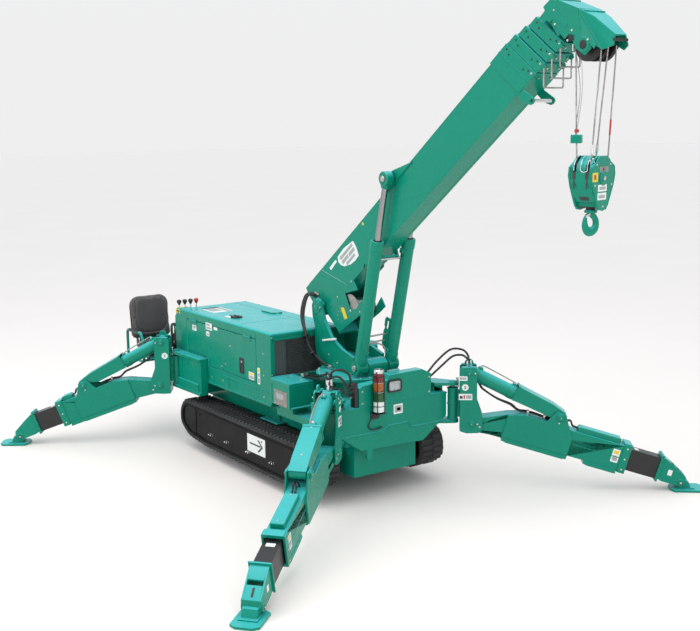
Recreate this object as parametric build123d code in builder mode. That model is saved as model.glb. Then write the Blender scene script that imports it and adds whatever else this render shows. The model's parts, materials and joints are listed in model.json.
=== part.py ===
from build123d import *
import os
from math import atan2, cos, degrees, hypot, radians, sin

# A mini tracked crane standing on its four spider outriggers, boom raised over the nose.
# Millimetres. +X is the nose, +Y the left side, +Z up, z = 0 the ground under the foot pads.
# Drawing coordinates have x = 0 amidships of the tracks; the stored frame has x = 0 amidships
# of the whole outline, so every plane below starts DATUM_X behind the stored origin.
DATUM_X = 691.0

# ---------------------------------------------------------------- driving dimensions
# tracks
TRACK_IN, TRACK_OUT = 390.0, 640.0        # belt edges, from the centre plane
TRACK_TOP, TRACK_LOW = 460.0, 82.5        # over the shoes, clear of the ground on the legs
BELT = 42.0                               # belt with its shoes
TRACK_REAR, TRACK_FRONT = -1010.0, 1210.0
# chassis and covers
BEAM_LOW, BEAM_TOP, DECK_TOP = 200.0, 455.0, 640.0
NOSE_X, NOSE_REAR, NOSE_HALF, NOSE_TOP = 1360.0, 1000.0, 525.0, 785.0
HOOD_REAR, HOOD_FRONT = -1100.0, 465.0
HOOD_RIGHT, HOOD_LEFT = -551.5, 140.0
HOOD_LOW, HOOD_TOP, HOOD_WALL = 640.0, 1243.0, 8.0
MOUNT_X, MOUNT_Z = -590.0, 868.0          # the door is cut away over the rear outrigger mount
DOOR_X0, DOOR_X1, DOOR_Z0, DOOR_Z1 = -980.0, 236.0, 795.0, 1165.0
DOOR_GAP = 5.0
HINGE_Y, HINGE_Z, HINGE_R = -558.0, 1163.0, 6.0
HINGES_X = ((-900.0, -780.0), (40.0, 160.0))
GRILLE_Y0, GRILLE_Y1, GRILLE_Z0, GRILLE_Z1 = -512.0, 80.0, 881.0, 1177.0
# slewing column
SLEW_X = 890.0
PEDESTAL_R, PEDESTAL_TOP = 190.0, 906.0
TURN_R, TURN_LOW, TURN_TOP = 330.0, 912.0, 950.0
EAR_IN, EAR_OUT = 125.0, 150.0            # the column's side plates
FOOT_X, FOOT_Z, FOOT_R = 533.0, 1431.0, 32.0
# boom
BOOM_DEG = 37.64                          # elevation as it stands
BASE_HALF, BASE_V0, BASE_V1 = 89.0, -60.0, 242.0
TAIL_U = -125.0
COLLAR_SLANT = 90.0                       # a collar's lower edge runs this far ahead of its upper edge
HEAD_U, HEAD_V = 3352.0, -186.0           # head sheave pin, in the boom's frame
# derrick cylinders
DERRICK_Y, DERRICK_R, DERRICK_ROD = 149.0, 48.0, 23.0
DERRICK_PIN = (1120.0, 1026.0)            # x, z of the lower pin
DERRICK_EYE = (1470.0, 2490.0)            # x, z of the rod eyes
DERRICK_GLAND = 1025.0
# hook block
BLOCK_X, BLOCK_Y, BLOCK_TURN = 3330.0, -29.0, 14.0
BLOCK_Z0, BLOCK_Z1, BLOCK_HALF = 2370.0, 2690.0, 76.0
SHEAVE_Z, BLOCK_SHEAVE_R, BLOCK_SHEAVE_X = 2560.0, 95.0, 42.0
SHEAVES_Y, SHEAVE_R = (-55.0, 0.0, 70.0), 95.0
HOOK_EYE_Z, ROPE_R = 2303.0, 5.0
# outriggers
ARM_HALF, LEG_WALL = 70.0, 6.0
ARM_V0, ARM_V1 = -37.0, 170.0             # outer box, either side of the pivot line
POST_IN, POST_OUT = 76.0, 88.0
LEG_BOX_HALF, LEG_BOX_HIGH = 58.0, 175.0
SWIVEL_PIN, SWIVEL_TUBE = 20.0, 40.0
CYL_R, CYL_ROD = 55.0, 25.0
HEAD_PIN = (130.0, 945.0)                 # leg cylinder's upper pin: s, z in the leg's plane
LUG_PIN = (657.0, 246.0)                  # leg cylinder's lower pin: u, v in the arm's frame
BARREL_L = 400.0
PAD_L, PAD_W, PAD_T = 260.0, 190.0, 18.0

# swivel x, swivel y, pad x, pad y, pivot z, tilt (degrees down), arm length, inner box showing
LEG_COLUMNS = ("name", "sx", "sy", "fx", "fy", "pz", "tilt", "arm", "shows")
LEG_ROWS = (
    ("front_left", 1370.0, 580.0, 2557.0, 2000.0, 535.0, 16.0, 1260.0, 244.0),
    ("front_right", 1370.0, -580.0, 2557.0, -2000.0, 535.0, 16.0, 1260.0, 244.0),
    ("rear_left", -1100.0, 600.0, -1965.0, 1841.0, 550.0, 20.0, 965.0, 220.0),
    ("rear_right", -1100.0, -600.0, -1965.0, -1841.0, 550.0, 20.0, 965.0, 220.0),
)
LEGS = [dict(zip(LEG_COLUMNS, row)) for row in LEG_ROWS]

# inner boom sections: half width, lower and upper v, wall, tail u, end u (upper corner), collar length
SECTION_COLUMNS = ("name", "half", "v0", "v1", "wall", "tail", "end", "collar")
SECTION_ROWS = (
    ("boom_section_2", 77.0, -48.0, 230.0, 5.0, 60.0, 2952.0, 84.0),
    ("boom_section_3", 66.0, -37.0, 219.0, 5.0, 100.0, 3042.0, 78.0),
    ("boom_section_4", 55.0, -26.0, 208.0, 5.0, 140.0, 3134.0, 80.0),
    ("boom_section_5", 44.0, -15.0, 197.0, 5.0, 180.0, 3226.0, 0.0),
)
SECTIONS = [dict(zip(SECTION_COLUMNS, row)) for row in SECTION_ROWS]
BASE_END, BASE_COLLAR = 2862.0, 190.0
# collar sizes, base first: half width, lower v, upper v
COLLARS = ((96.0, -70.0, 250.0), (92.0, -68.0, 244.0), (86.0, -66.0, 230.0), (80.0, -63.0, 216.0))

# ---------------------------------------------------------------- planes
PLAN = Plane(origin=(-DATUM_X, 0, 0))
SIDE = Plane(origin=(-DATUM_X, 0, 0), x_dir=(1, 0, 0), z_dir=(0, -1, 0))
CROSS = Plane(origin=(-DATUM_X, 0, 0), x_dir=(0, 1, 0), z_dir=(1, 0, 0))
BOOM_RAD = radians(BOOM_DEG)
BOOM = Plane(
    origin=(FOOT_X - DATUM_X, 0, FOOT_Z),
    x_dir=(cos(BOOM_RAD), 0, sin(BOOM_RAD)),
    z_dir=(0, -1, 0),
)


def slab(points, plane, lo, hi, mode=Mode.ADD):
    """A flat outline on a plane, thickened from lo to hi along the plane's normal."""
    with BuildSketch(plane.offset(lo)) as outline:
        with BuildLine():
            Polyline(*points, close=True)
        make_face()
    extrude(outline.sketch, amount=hi - lo, mode=mode)


def both_sides(points, plane, lo, hi, mode=Mode.ADD):
    """The same plate on each side of the plane."""
    slab(points, plane, lo, hi, mode)
    slab(points, plane, -hi, -lo, mode)


def disc(centre, radius, plane, lo, hi, mode=Mode.ADD):
    """A round boss, pin or bore along the plane's normal."""
    with BuildSketch(plane.offset(lo)) as outline:
        with Locations(centre):
            Circle(radius)
    extrude(outline.sketch, amount=hi - lo, mode=mode)


def box(x0, x1, y0, y1, z0, z1, mode=Mode.ADD):
    """A block by its drawing coordinates."""
    slab([(x0, y0), (x1, y0), (x1, y1), (x0, y1)], PLAN, z0, z1, mode)


def rect(u0, u1, v0, v1):
    return [(u0, v0), (u1, v0), (u1, v1), (u0, v1)]


os.makedirs("parts", exist_ok=True)


def keep(name, piece):
    """Each piece is written under its own name."""
    piece.part.label = name
    export_step(piece.part, f"parts/{name}.step")


# ---------------------------------------------------------------- tracks
TRACK_OUTLINE = [
    (TRACK_REAR, TRACK_TOP), (TRACK_REAR, 210.0), (-860.0, 112.0), (-540.0, TRACK_LOW),
    (870.0, TRACK_LOW), (1060.0, 100.0), (TRACK_FRONT, 200.0), (TRACK_FRONT, TRACK_TOP),
]
TRACK_RADII = [165.0, 110.0, 150.0, 150.0, 150.0, 150.0, 110.0, 165.0]
ROLLERS_X = (-442.0, -156.0, 200.0, 577.0)

for name, sign in (("left", -1), ("right", 1)):
    lo, hi = sorted((sign * TRACK_IN, sign * TRACK_OUT))
    with BuildPart() as track:
        with BuildSketch(SIDE.offset(lo)) as loop:
            with BuildLine():
                FilletPolyline(*TRACK_OUTLINE, radius=TRACK_RADII, close=True)
            make_face()
            offset(amount=-BELT, mode=Mode.SUBTRACT)
        extrude(loop.sketch, amount=hi - lo)
    keep(f"track_{name}", track)

    # the track frame: end wheels, rollers and the outer cover that hides them
    with BuildPart() as frame:
        f0, f1 = sorted((sign * 440.0, sign * 596.0))
        slab([(-700, 195), (950, 195), (950, 330), (-700, 330)], SIDE, f0, f1)
        c0, c1 = sorted((sign * 596.0, sign * 622.0))
        with BuildSketch(SIDE.offset(c0)) as cover:
            with BuildLine():
                FilletPolyline(*TRACK_OUTLINE, radius=TRACK_RADII, close=True)
            make_face()
            offset(amount=-(BELT + 3.0))
        extrude(cover.sketch, amount=c1 - c0)
        for x, z, r in ((-830.0, 293.0, 112.0), (1035.0, 290.0, 112.0)):
            disc((x, z), r, SIDE, f0, f1)
        for x in ROLLERS_X:
            disc((x, 180.0), 44.0, SIDE, f0, f1)
    keep(f"track_frame_{name}", frame)

# ---------------------------------------------------------------- chassis
NOSE_FRONT = [
    (-NOSE_HALF, NOSE_TOP), (-NOSE_HALF, 590), (-312, 445), (290, 425), (420, 520), (NOSE_HALF, 590), (NOSE_HALF, NOSE_TOP),
]
with BuildPart() as chassis:
    # folded beam between the tracks with the wider deck box on it, open underneath
    box(-1000, 1250, -300, 300, BEAM_LOW, BEAM_TOP)
    box(-1050, 1250, -380, 380, BEAM_TOP, DECK_TOP)
    box(500, NOSE_REAR, -NOSE_HALF, NOSE_HALF, 585, DECK_TOP)
    # nose under the slewing column, which carries the front outriggers
    slab(NOSE_FRONT, CROSS, NOSE_REAR, NOSE_X)
    slab([(-258, 446), (-206, 444), (-206, 372), (-222, 361), (-242, 361), (-258, 372)], CROSS, NOSE_X - 30, NOSE_X)
    box(-990, 1238, -290, 290, BEAM_LOW - 10, DECK_TOP - 10, mode=Mode.SUBTRACT)
    box(-1040, 980, -370, 370, BEAM_TOP + 10, DECK_TOP - 10, mode=Mode.SUBTRACT)
    box(1262, NOSE_X - 12, -270, 270, 400, NOSE_TOP - 12, mode=Mode.SUBTRACT)
    for s in (-1, 1):
        y0, y1 = sorted((s * 392, s * (NOSE_HALF - 12)))
        box(NOSE_REAR - 10, NOSE_X - 12, y0, y1, DECK_TOP, NOSE_TOP - 12, mode=Mode.SUBTRACT)
    # tubes out to the track frames
    for x in (-600, 650):
        for s in (-1, 1):
            y0, y1 = sorted((s * 299, s * 440))
            box(x, x + 120, y0, y1, 215, 330)
    # pedestal under the slewing ring
    disc((SLEW_X, 0), PEDESTAL_R, PLAN, DECK_TOP - 10, PEDESTAL_TOP)
    disc((SLEW_X, 0), PEDESTAL_R - 30, PLAN, DECK_TOP - 20, PEDESTAL_TOP - 20, mode=Mode.SUBTRACT)
    # outrigger mounts: an upper and a lower plate with a box web, and the swivel pin through both
    for leg in LEGS:
        side = 1 if leg["sy"] > 0 else -1
        if leg["sx"] > 0:
            plates = [(1180, 430, 1330, 540)]
            webs = [(1180, 430, 1308, 528, 550, 840)]
        else:
            plates = [(-1020, 553.5, -600, 640)]
            webs = [(-1015, 553.5, -600, 625, 550, 840), (-1015, 370, -640, 640, 540, 630)]
        for x0, y0, x1, y1 in plates:
            for z0, z1 in ((530, 555), (835, 860)):
                with BuildSketch(PLAN.offset(z0)) as plate:
                    with Locations(((x0 + x1) / 2, side * (y0 + y1) / 2)):
                        Rectangle(x1 - x0, y1 - y0)
                    with Locations((leg["sx"], leg["sy"])):
                        Circle(48)
                    make_hull()
                extrude(plate.sketch, amount=z1 - z0)
        for x0, y0, x1, y1, z0, z1 in webs:
            w0, w1 = sorted((side * y0, side * y1))
            box(x0, x1, w0, w1, z0, z1)
        disc((leg["sx"], leg["sy"]), SWIVEL_PIN, PLAN, 545, 845)
        disc((leg["sx"], leg["sy"]), 30, PLAN, 859, 868)
    # bearers for the tool box and the step beside the hood
    box(560, 760, -540, -400, DECK_TOP - 1, 700)
    box(155, 420, -480, -310, 468, 478)
    box(230, 330, -400, -375, 470, 600)
keep("chassis_frame", chassis)

# ---------------------------------------------------------------- engine cover
with BuildPart() as hood:
    slab(rect(HOOD_REAR, HOOD_FRONT, HOOD_LOW, HOOD_TOP), SIDE, -HOOD_LEFT, -HOOD_RIGHT)
    fillet(hood.edges().group_by(Axis.Z)[-1], radius=28)
    slab(
        rect(HOOD_REAR + HOOD_WALL, HOOD_FRONT - HOOD_WALL, HOOD_LOW - 20, HOOD_TOP - 30), SIDE,
        -HOOD_LEFT + HOOD_WALL, -HOOD_RIGHT - HOOD_WALL, mode=Mode.SUBTRACT,
    )
    slab(
        rect(HOOD_REAR + 30, HOOD_FRONT - 30, HOOD_TOP - 40, HOOD_TOP - HOOD_WALL), SIDE,
        -HOOD_LEFT + 30, -HOOD_RIGHT - 30, mode=Mode.SUBTRACT,
    )
    # door opening, cut short over the outrigger mount, and the grille opening
    slab([
        (DOOR_X0, MOUNT_Z), (MOUNT_X, MOUNT_Z), (MOUNT_X, DOOR_Z0), (DOOR_X1, DOOR_Z0), (DOOR_X1, DOOR_Z1), (DOOR_X0, DOOR_Z1),
    ], SIDE, -HOOD_RIGHT - 30, -HOOD_RIGHT + 20, mode=Mode.SUBTRACT)
    slab([(GRILLE_Y0, GRILLE_Z0), (GRILLE_Y1, GRILLE_Z0), (GRILLE_Y1, GRILLE_Z1), (GRILLE_Y0, GRILLE_Z1)],
         CROSS, HOOD_FRONT - 40, HOOD_FRONT + 40, mode=Mode.SUBTRACT)
    # raised oval cap on the top
    with BuildSketch(PLAN.offset(HOOD_TOP - 1)) as cap:
        with Locations((-400, -5)):
            SlotOverall(240, 120)
    extrude(cap.sketch, amount=13)
keep("engine_hood", hood)

with BuildPart() as door:
    g = DOOR_GAP
    slab([
        (DOOR_X0 + g, MOUNT_Z + g), (MOUNT_X + g, MOUNT_Z + g), (MOUNT_X + g, DOOR_Z0 + g),
        (DOOR_X1 - g, DOOR_Z0 + g), (DOOR_X1 - g, DOOR_Z1 - g), (DOOR_X0 + g, DOOR_Z1 - g),
    ], SIDE, -HOOD_RIGHT - HOOD_WALL, -HOOD_RIGHT)
    # two hinge knuckles on leaves along the top edge
    for x0, x1 in HINGES_X:
        box(x0, x1, HINGE_Y + 2, HOOD_RIGHT, DOOR_Z1 - 35, HINGE_Z)
        knuckle = Plane(origin=(x0 - DATUM_X, HINGE_Y, HINGE_Z), z_dir=(1, 0, 0))
        disc((0, 0), HINGE_R, knuckle, 0, x1 - x0)
keep("hood_door", door)

with BuildPart() as grille:
    slab([(GRILLE_Y0, GRILLE_Z0), (GRILLE_Y1, GRILLE_Z0), (GRILLE_Y1, GRILLE_Z1), (GRILLE_Y0, GRILLE_Z1)],
         CROSS, HOOD_FRONT - 8, HOOD_FRONT - 2)
keep("hood_grille", grille)

with BuildPart() as engine:
    box(-700, 300, -450, 50, DECK_TOP, 1050)
keep("engine_block", engine)

# cover over the tanks and valves on the left of the engine
TANK = [(-1000, DECK_TOP), (430, DECK_TOP), (430, 1010), (400, 1040), (-970, 1040), (-1000, 1010)]
with BuildPart() as left_cover:
    slab(TANK, SIDE, -545, -145)
    slab([(-992, 630), (422, 630), (422, 1007), (397, 1032), (-967, 1032), (-992, 1007)], SIDE, -537, -153, mode=Mode.SUBTRACT)
keep("tank_cover", left_cover)

with BuildPart() as toolbox:
    slab([(500, -560), (530, -600), (810, -600), (810, -370), (500, -370)], PLAN, 700, 900)
    slab([(508, -557), (534, -592), (802, -592), (802, -378), (508, -378)], PLAN, 708, 892, mode=Mode.SUBTRACT)
    # opening in its floor over the bearer
    box(600, 700, -500, -440, 690, 720, mode=Mode.SUBTRACT)
keep("tool_box", toolbox)

with BuildPart() as nose_cover:
    slab([(-330, NOSE_TOP), (-330, 930), (-300, 950), (-60, 960), (-40, 1000), (280, 1000), (367, 956), (370, NOSE_TOP)], CROSS, 1272, NOSE_X + 2)
    slab([(-322, 770), (-322, 926), (-297, 942), (-54, 952), (-34, 992), (278, 992), (359, 951), (362, 770)], CROSS, 1262, NOSE_X - 6, mode=Mode.SUBTRACT)
keep("nose_cover", nose_cover)

with BuildPart() as headlight:
    slab([(-50, 868), (50, 868), (58, 876), (58, 944), (50, 952), (-50, 952), (-58, 944), (-58, 876)], CROSS, NOSE_X + 2, NOSE_X + 15)
keep("headlight", headlight)

with BuildPart() as lamp:
    disc((1412, -184), 42, PLAN, 731, 1075)
    box(NOSE_X, 1454, -226, -142, 716, 732)
    box(NOSE_X, 1367, -226, -142, 680, 720)
keep("lamp_tower", lamp)

# ---------------------------------------------------------------- operator's place
with BuildPart() as seat_frame:
    # rail off the chassis, pan on its posts, and a loop of tube each side for the arms
    box(-1800, -1050, -372, -300, 560, 620)
    box(-1800, -1730, -372, -300, 560, 745)
    box(-1440, -1370, -372, -300, 560, 745)
    box(-1790, -1360, -730, -300, 740, 752)
    box(-1740, -1400, -680, -400, 751, 790)
    for y in (-772, -310):
        slab([
            (-1790, 700), (-1790, 965), (-1765, 990), (-1480, 990), (-1420, 900), (-1420, 700),
            (-1446, 700), (-1446, 892), (-1492, 964), (-1752, 964), (-1764, 952), (-1764, 700),
        ], SIDE, -y - 13, -y + 13)
        box(-1790, -1420, y - 13, y + 13, 700, 726)
    for x in (-1790, -1446):
        box(x, x + 26, -772, -310, 714, 740.5)
    slab([(-1764, 745), (-1738, 745), (-1738, 868), (-1770, 962), (-1784, 962), (-1764, 880)], SIDE, 420, 660)
keep("seat_frame", seat_frame)

with BuildPart() as seat_base:
    slab([(-1736, 790), (-1376, 790), (-1358, 815), (-1362, 858), (-1390, 874), (-1736, 862)], SIDE, 350, 728)
keep("seat_cushion", seat_base)
with BuildPart() as seat_back:
    slab([(-1738, 868), (-1680, 880), (-1700, 1040), (-1728, 1280), (-1756, 1300), (-1804, 1290), (-1812, 1270), (-1770, 962)], SIDE, 327, 755)
keep("seat_back", seat_back)

with BuildPart() as console:
    slab([(-1220, 700), (HOOD_REAR, 700), (HOOD_REAR, 1190), (-1180, 1190), (-1220, 1160)], SIDE, 330, 545)
keep("control_console", console)

with BuildPart() as levers:
    for y in (-528, -472, -416, -360):
        disc((-1150, y), 6, PLAN, 1190, 1262)
        with Locations(Pos(-1150 - DATUM_X, y, 1284)):
            Sphere(24)
keep("control_levers", levers)

# ---------------------------------------------------------------- slewing column
EAR = [
    (600, TURN_TOP), (556, 985), (516, 1060), (503, 1130), (503, 1264), (471, 1345),
    (FOOT_X - 70, FOOT_Z), (FOOT_X - 50, FOOT_Z + 50), (FOOT_X, FOOT_Z + 70), (FOOT_X + 50, FOOT_Z + 50),
    (FOOT_X + 72, FOOT_Z), (640, 1335), (740, 1200), (880, 1130), (1040, 1085), (1046, TURN_TOP),
]
with BuildPart() as column:
    disc((SLEW_X, 0), TURN_R, PLAN, TURN_LOW, TURN_TOP)
    both_sides(EAR, SIDE, EAR_IN, EAR_OUT)
    # rear wall and floor between the side plates
    slab([(600, 949), (556, 985), (516, 1060), (503, 1130), (503, 1240), (520, 1240), (520, 1135), (534, 1068), (572, 1000), (600, 975)], SIDE, -EAR_IN, EAR_IN)
    slab([(600, 949), (600, 1010), (1040, 1040), (1040, 949)], SIDE, -EAR_IN, EAR_IN)
    # lug of the derrick cylinders and its cross shaft
    slab([(1000, 949), (1000, 1060), (1080, 1082), (1130, 1080), (1168, 1050), (1172, 1010), (1150, 949)], SIDE, -92, 92)
    disc(DERRICK_PIN, 25, SIDE, -205, 205)
    # foot pin
    disc((FOOT_X, FOOT_Z), FOOT_R, SIDE, -EAR_OUT - 8, EAR_OUT + 8)
keep("slewing_column", column)

# ---------------------------------------------------------------- derrick cylinders
dx, dz = DERRICK_EYE[0] - DERRICK_PIN[0], DERRICK_EYE[1] - DERRICK_PIN[1]
derrick_len = hypot(dx, dz)
DERRICK = Plane(
    origin=(DERRICK_PIN[0] - DATUM_X, 0, DERRICK_PIN[1]),
    x_dir=(dx / derrick_len, 0, dz / derrick_len),
    z_dir=(0, -1, 0),
)
with BuildPart() as barrels:
    for s in (-1, 1):
        tube = Plane(origin=DERRICK.from_local_coords((0, 0, s * DERRICK_Y)), x_dir=(0, 1, 0), z_dir=DERRICK.x_dir)
        disc((0, 0), DERRICK_R, tube, 30, DERRICK_GLAND)
        disc((0, 0), DERRICK_R - 8, tube, 60, DERRICK_GLAND - 40, mode=Mode.SUBTRACT)
        disc((0, 0), DERRICK_ROD + 1, tube, 60, DERRICK_GLAND + 1, mode=Mode.SUBTRACT)
        disc((0, 0), 54, DERRICK, s * DERRICK_Y - 47, s * DERRICK_Y + 47)
        disc((0, 0), 26, DERRICK, s * DERRICK_Y - 60, s * DERRICK_Y + 60, mode=Mode.SUBTRACT)
keep("derrick_barrels", barrels)

with BuildPart() as rods:
    for s in (-1, 1):
        tube = Plane(origin=DERRICK.from_local_coords((0, 0, s * DERRICK_Y)), x_dir=(0, 1, 0), z_dir=DERRICK.x_dir)
        disc((0, 0), DERRICK_ROD, tube, 560, derrick_len - 30)
        at_eye = Plane(origin=DERRICK.from_local_coords((derrick_len, 0, 0)), x_dir=DERRICK.x_dir, z_dir=DERRICK.z_dir)
        disc((0, 0), 52, at_eye, s * DERRICK_Y - 31, s * DERRICK_Y + 31)
        disc((0, 0), 26, at_eye, s * DERRICK_Y - 38, s * DERRICK_Y + 38)
keep("derrick_rods", rods)

# ---------------------------------------------------------------- boom
EYE_U, EYE_V = tuple(BOOM.to_local_coords(Vector(DERRICK_EYE[0] - DATUM_X, 0, DERRICK_EYE[1])))[:2]


def slanted(end, length, v0, v1, grow=0.0):
    """Side outline of a piece whose end is cut slanting forward at the bottom."""
    def at(v):
        return end + COLLAR_SLANT * (BASE_V1 - v) / (BASE_V1 - BASE_V0)
    return [(at(v0) - length, v0), (at(v0), v0), (at(v1), v1), (at(v1) - length, v1)]


with BuildPart() as base:
    at_bottom = BASE_END + COLLAR_SLANT
    slab([
        (TAIL_U, BASE_V1), (TAIL_U, 190), (-88, -20), (-60, BASE_V0), (at_bottom, BASE_V0), (BASE_END, BASE_V1),
    ], BOOM, -BASE_HALF, BASE_HALF)
    # foot gussets, which carry the winch
    both_sides([(22, -40), (30, -90), (80, -296), (400, -326), (560, -326), (600, -290), (600, -124), (672, -76), (705, -40)], BOOM, BASE_HALF + 2, BASE_HALF + 11)
    both_sides([(22, -40), (30, -50), (690, -50), (705, -40)], BOOM, BASE_HALF - 1, BASE_HALF + 3)
    # openings that show the winch drum
    both_sides([(345, -90), (530, -165), (505, -240), (400, -262), (325, -225)], BOOM, BASE_HALF + 1, BASE_HALF + 12, mode=Mode.SUBTRACT)
    # end collar
    both_sides(slanted(BASE_END, BASE_COLLAR, BASE_V0, BASE_V1), BOOM, BASE_HALF, COLLARS[0][0])
    slab(slanted(BASE_END, BASE_COLLAR, BASE_V1, COLLARS[0][2]), BOOM, -COLLARS[0][0], COLLARS[0][0])
    slab(slanted(BASE_END, BASE_COLLAR, COLLARS[0][1], BASE_V0), BOOM, -COLLARS[0][0], COLLARS[0][0])
    # rope guard under the box, between the derrick cylinders
    both_sides([(872, BASE_V0), (928, BASE_V0), (912, -118), (888, -118)], BOOM, 70, 80)
    slab(rect(888, 912, -118, -98), BOOM, -80, 80)
    # saddle on the top for the cylinder eyes
    both_sides([(EYE_U - 150, 225), (EYE_U - 40, EYE_V + 40), (EYE_U, EYE_V + 50), (EYE_U + 40, EYE_V + 42), (EYE_U + 260, 225)], BOOM, BASE_HALF, BASE_HALF + 11)
    disc((EYE_U, EYE_V), 42, BOOM, -BASE_HALF - 11, BASE_HALF + 11)
    # bore for the inner sections, and the foot bore
    slab(rect(45, 3100, BASE_V0 + 6, BASE_V1 - 6), BOOM, -BASE_HALF + 6, BASE_HALF - 6, mode=Mode.SUBTRACT)
    disc((0, 0), FOOT_R + 0.5, BOOM, -BASE_HALF - 20, BASE_HALF + 20, mode=Mode.SUBTRACT)
keep("boom_base", base)

# winch drum between the gusset plates
with BuildPart() as drum:
    disc((330, -205), 62, BOOM, -86, 86)
    for lo, hi in ((-86, -76), (76, 86)):
        disc((330, -205), 100, BOOM, lo, hi)
    disc((330, -205), 20, BOOM, -90, 90)
keep("winch_drum", drum)

for i, row in enumerate(SECTIONS):
    with BuildPart() as section:
        h, v0, v1, w = row["half"], row["v0"], row["v1"], row["wall"]
        last = row["collar"] == 0.0
        front = slanted(row["end"], 0.0, v0, v1)
        slab([(row["tail"], v0), front[1], front[2], (row["tail"], v1)], BOOM, -h, h)
        slab(rect(row["tail"] - 1, 3500, v0 + w, v1 - w), BOOM, -h + w, h - w, mode=Mode.SUBTRACT)
        if not last:
            c, c0, c1 = COLLARS[i + 1]
            both_sides(slanted(row["end"], row["collar"], v0, v1), BOOM, h, c)
            slab(slanted(row["end"], row["collar"], v1, c1), BOOM, -c, c)
            slab(slanted(row["end"], row["collar"], c0, v0), BOOM, -c, c)
    keep(row["name"], section)

# boom head: faceted hood over the sheaves, fixed to the last section
s5 = SECTIONS[-1]
HEAD_SIDE = [
    (3250, -58), (3230, 205), (3300, 200), (3352, 140), (3432, 8), (3484, -96), (3530, -268),
    (3500, -318), (3440, -300), (3400, -215), (3330, -110), (3300, -60),
]
# seen from above the hood narrows towards its tip: u along the boom, y across it
TIP = Plane(origin=BOOM.origin, x_dir=BOOM.x_dir, z_dir=BOOM.y_dir)
with BuildPart() as cheeks:
    for s in (-1, 1):
        slab([(3430, s * 98), (3440, s * 98), (3545, s * 41), (3545, s * 31), (3440, s * 88), (3430, s * 88)], TIP, -340, 60)
    slab([(3431, 8), (3484, -96), (3530, -268), (3500, -318), (3440, -300), (3424, -266)], BOOM, -99, 99, mode=Mode.INTERSECT)
with BuildPart() as head:
    both_sides(HEAD_SIDE, BOOM, 88, 98)
    # hood plate that follows the upper edge
    slab([(3230, 209), (3302, 206), (3358, 144), (3439, 11), (3491, -96), (3536, -268), (3522, -268), (3477, -96), (3426, 4), (3346, 135), (3296, 198), (3230, 199)], BOOM, -98, 98)
    # neck plates onto the last section
    both_sides([(3215, 190), (3215, -8), (3300, -8), (3240, 190)], BOOM, s5["half"], 89)
    disc((HEAD_U, HEAD_V), 24, BOOM, -104, 104)
    both_sides([(3300, -70), (3340, -120), (3400, -215), (3380, -240), (3320, -240), (3290, -160)], BOOM, 88, 98)
    for s in (-1, 1):
        slab([(3440, s * 98), (3545, s * 41), (3545, s * 120), (3440, s * 120)], TIP, -340, 260, mode=Mode.SUBTRACT)
    add(cheeks.part)
keep("boom_head", head)

with BuildPart() as sheaves:
    for y in SHEAVES_Y:
        disc((HEAD_U, HEAD_V), SHEAVE_R, BOOM, -y - 11, -y + 11)
        disc((HEAD_U, HEAD_V), 24, BOOM, -y - 12, -y + 12, mode=Mode.SUBTRACT)
keep("head_sheaves", sheaves)

# ---------------------------------------------------------------- hook block
# The block hangs turned about its own upright axis, as the four falls leave the head sheaves.
turn = radians(BLOCK_TURN)
BLOCK = Plane(origin=(BLOCK_X - DATUM_X, BLOCK_Y, 0), x_dir=(-sin(turn), cos(turn), 0), z_dir=(cos(turn), sin(turn), 0))
HOOK = Plane(origin=(BLOCK_X - DATUM_X, BLOCK_Y, 0), x_dir=(0, 1, 0), z_dir=(1, 0, 0))
head_x, head_z = tuple(BOOM.from_local_coords((HEAD_U, HEAD_V, 0)))[0], tuple(BOOM.from_local_coords((HEAD_U, HEAD_V, 0)))[2]

# each fall: sheave, side of the head pin it leaves, and side of the block sheaves it reaches
FALL_COLUMNS = ("y", "fore", "along", "across")
FALL_ROWS = ((SHEAVES_Y[0], -1, -1, -1), (SHEAVES_Y[0], 1, 1, -1), (SHEAVES_Y[1], 1, -1, 1), (SHEAVES_Y[2], 1, 1, 1))
FALLS = [dict(zip(FALL_COLUMNS, row)) for row in FALL_ROWS]
with BuildPart() as ropes:
    for fall in FALLS:
        low = BLOCK.from_local_coords((fall["across"] * (BLOCK_SHEAVE_R + ROPE_R + 3), SHEAVE_Z, fall["along"] * BLOCK_SHEAVE_X))
        drop = Vector(low.X - head_x - fall["fore"] * SHEAVE_R, 0, low.Z - head_z).normalized()
        top = Vector(head_x, fall["y"], head_z) + Vector(-drop.Z, 0, drop.X) * (fall["fore"] * (SHEAVE_R + ROPE_R + 1))
        run = low - top
        disc((0, 0), ROPE_R, Plane(origin=top, z_dir=run.normalized()), 0, run.length)
keep("hoist_ropes", ropes)

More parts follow.
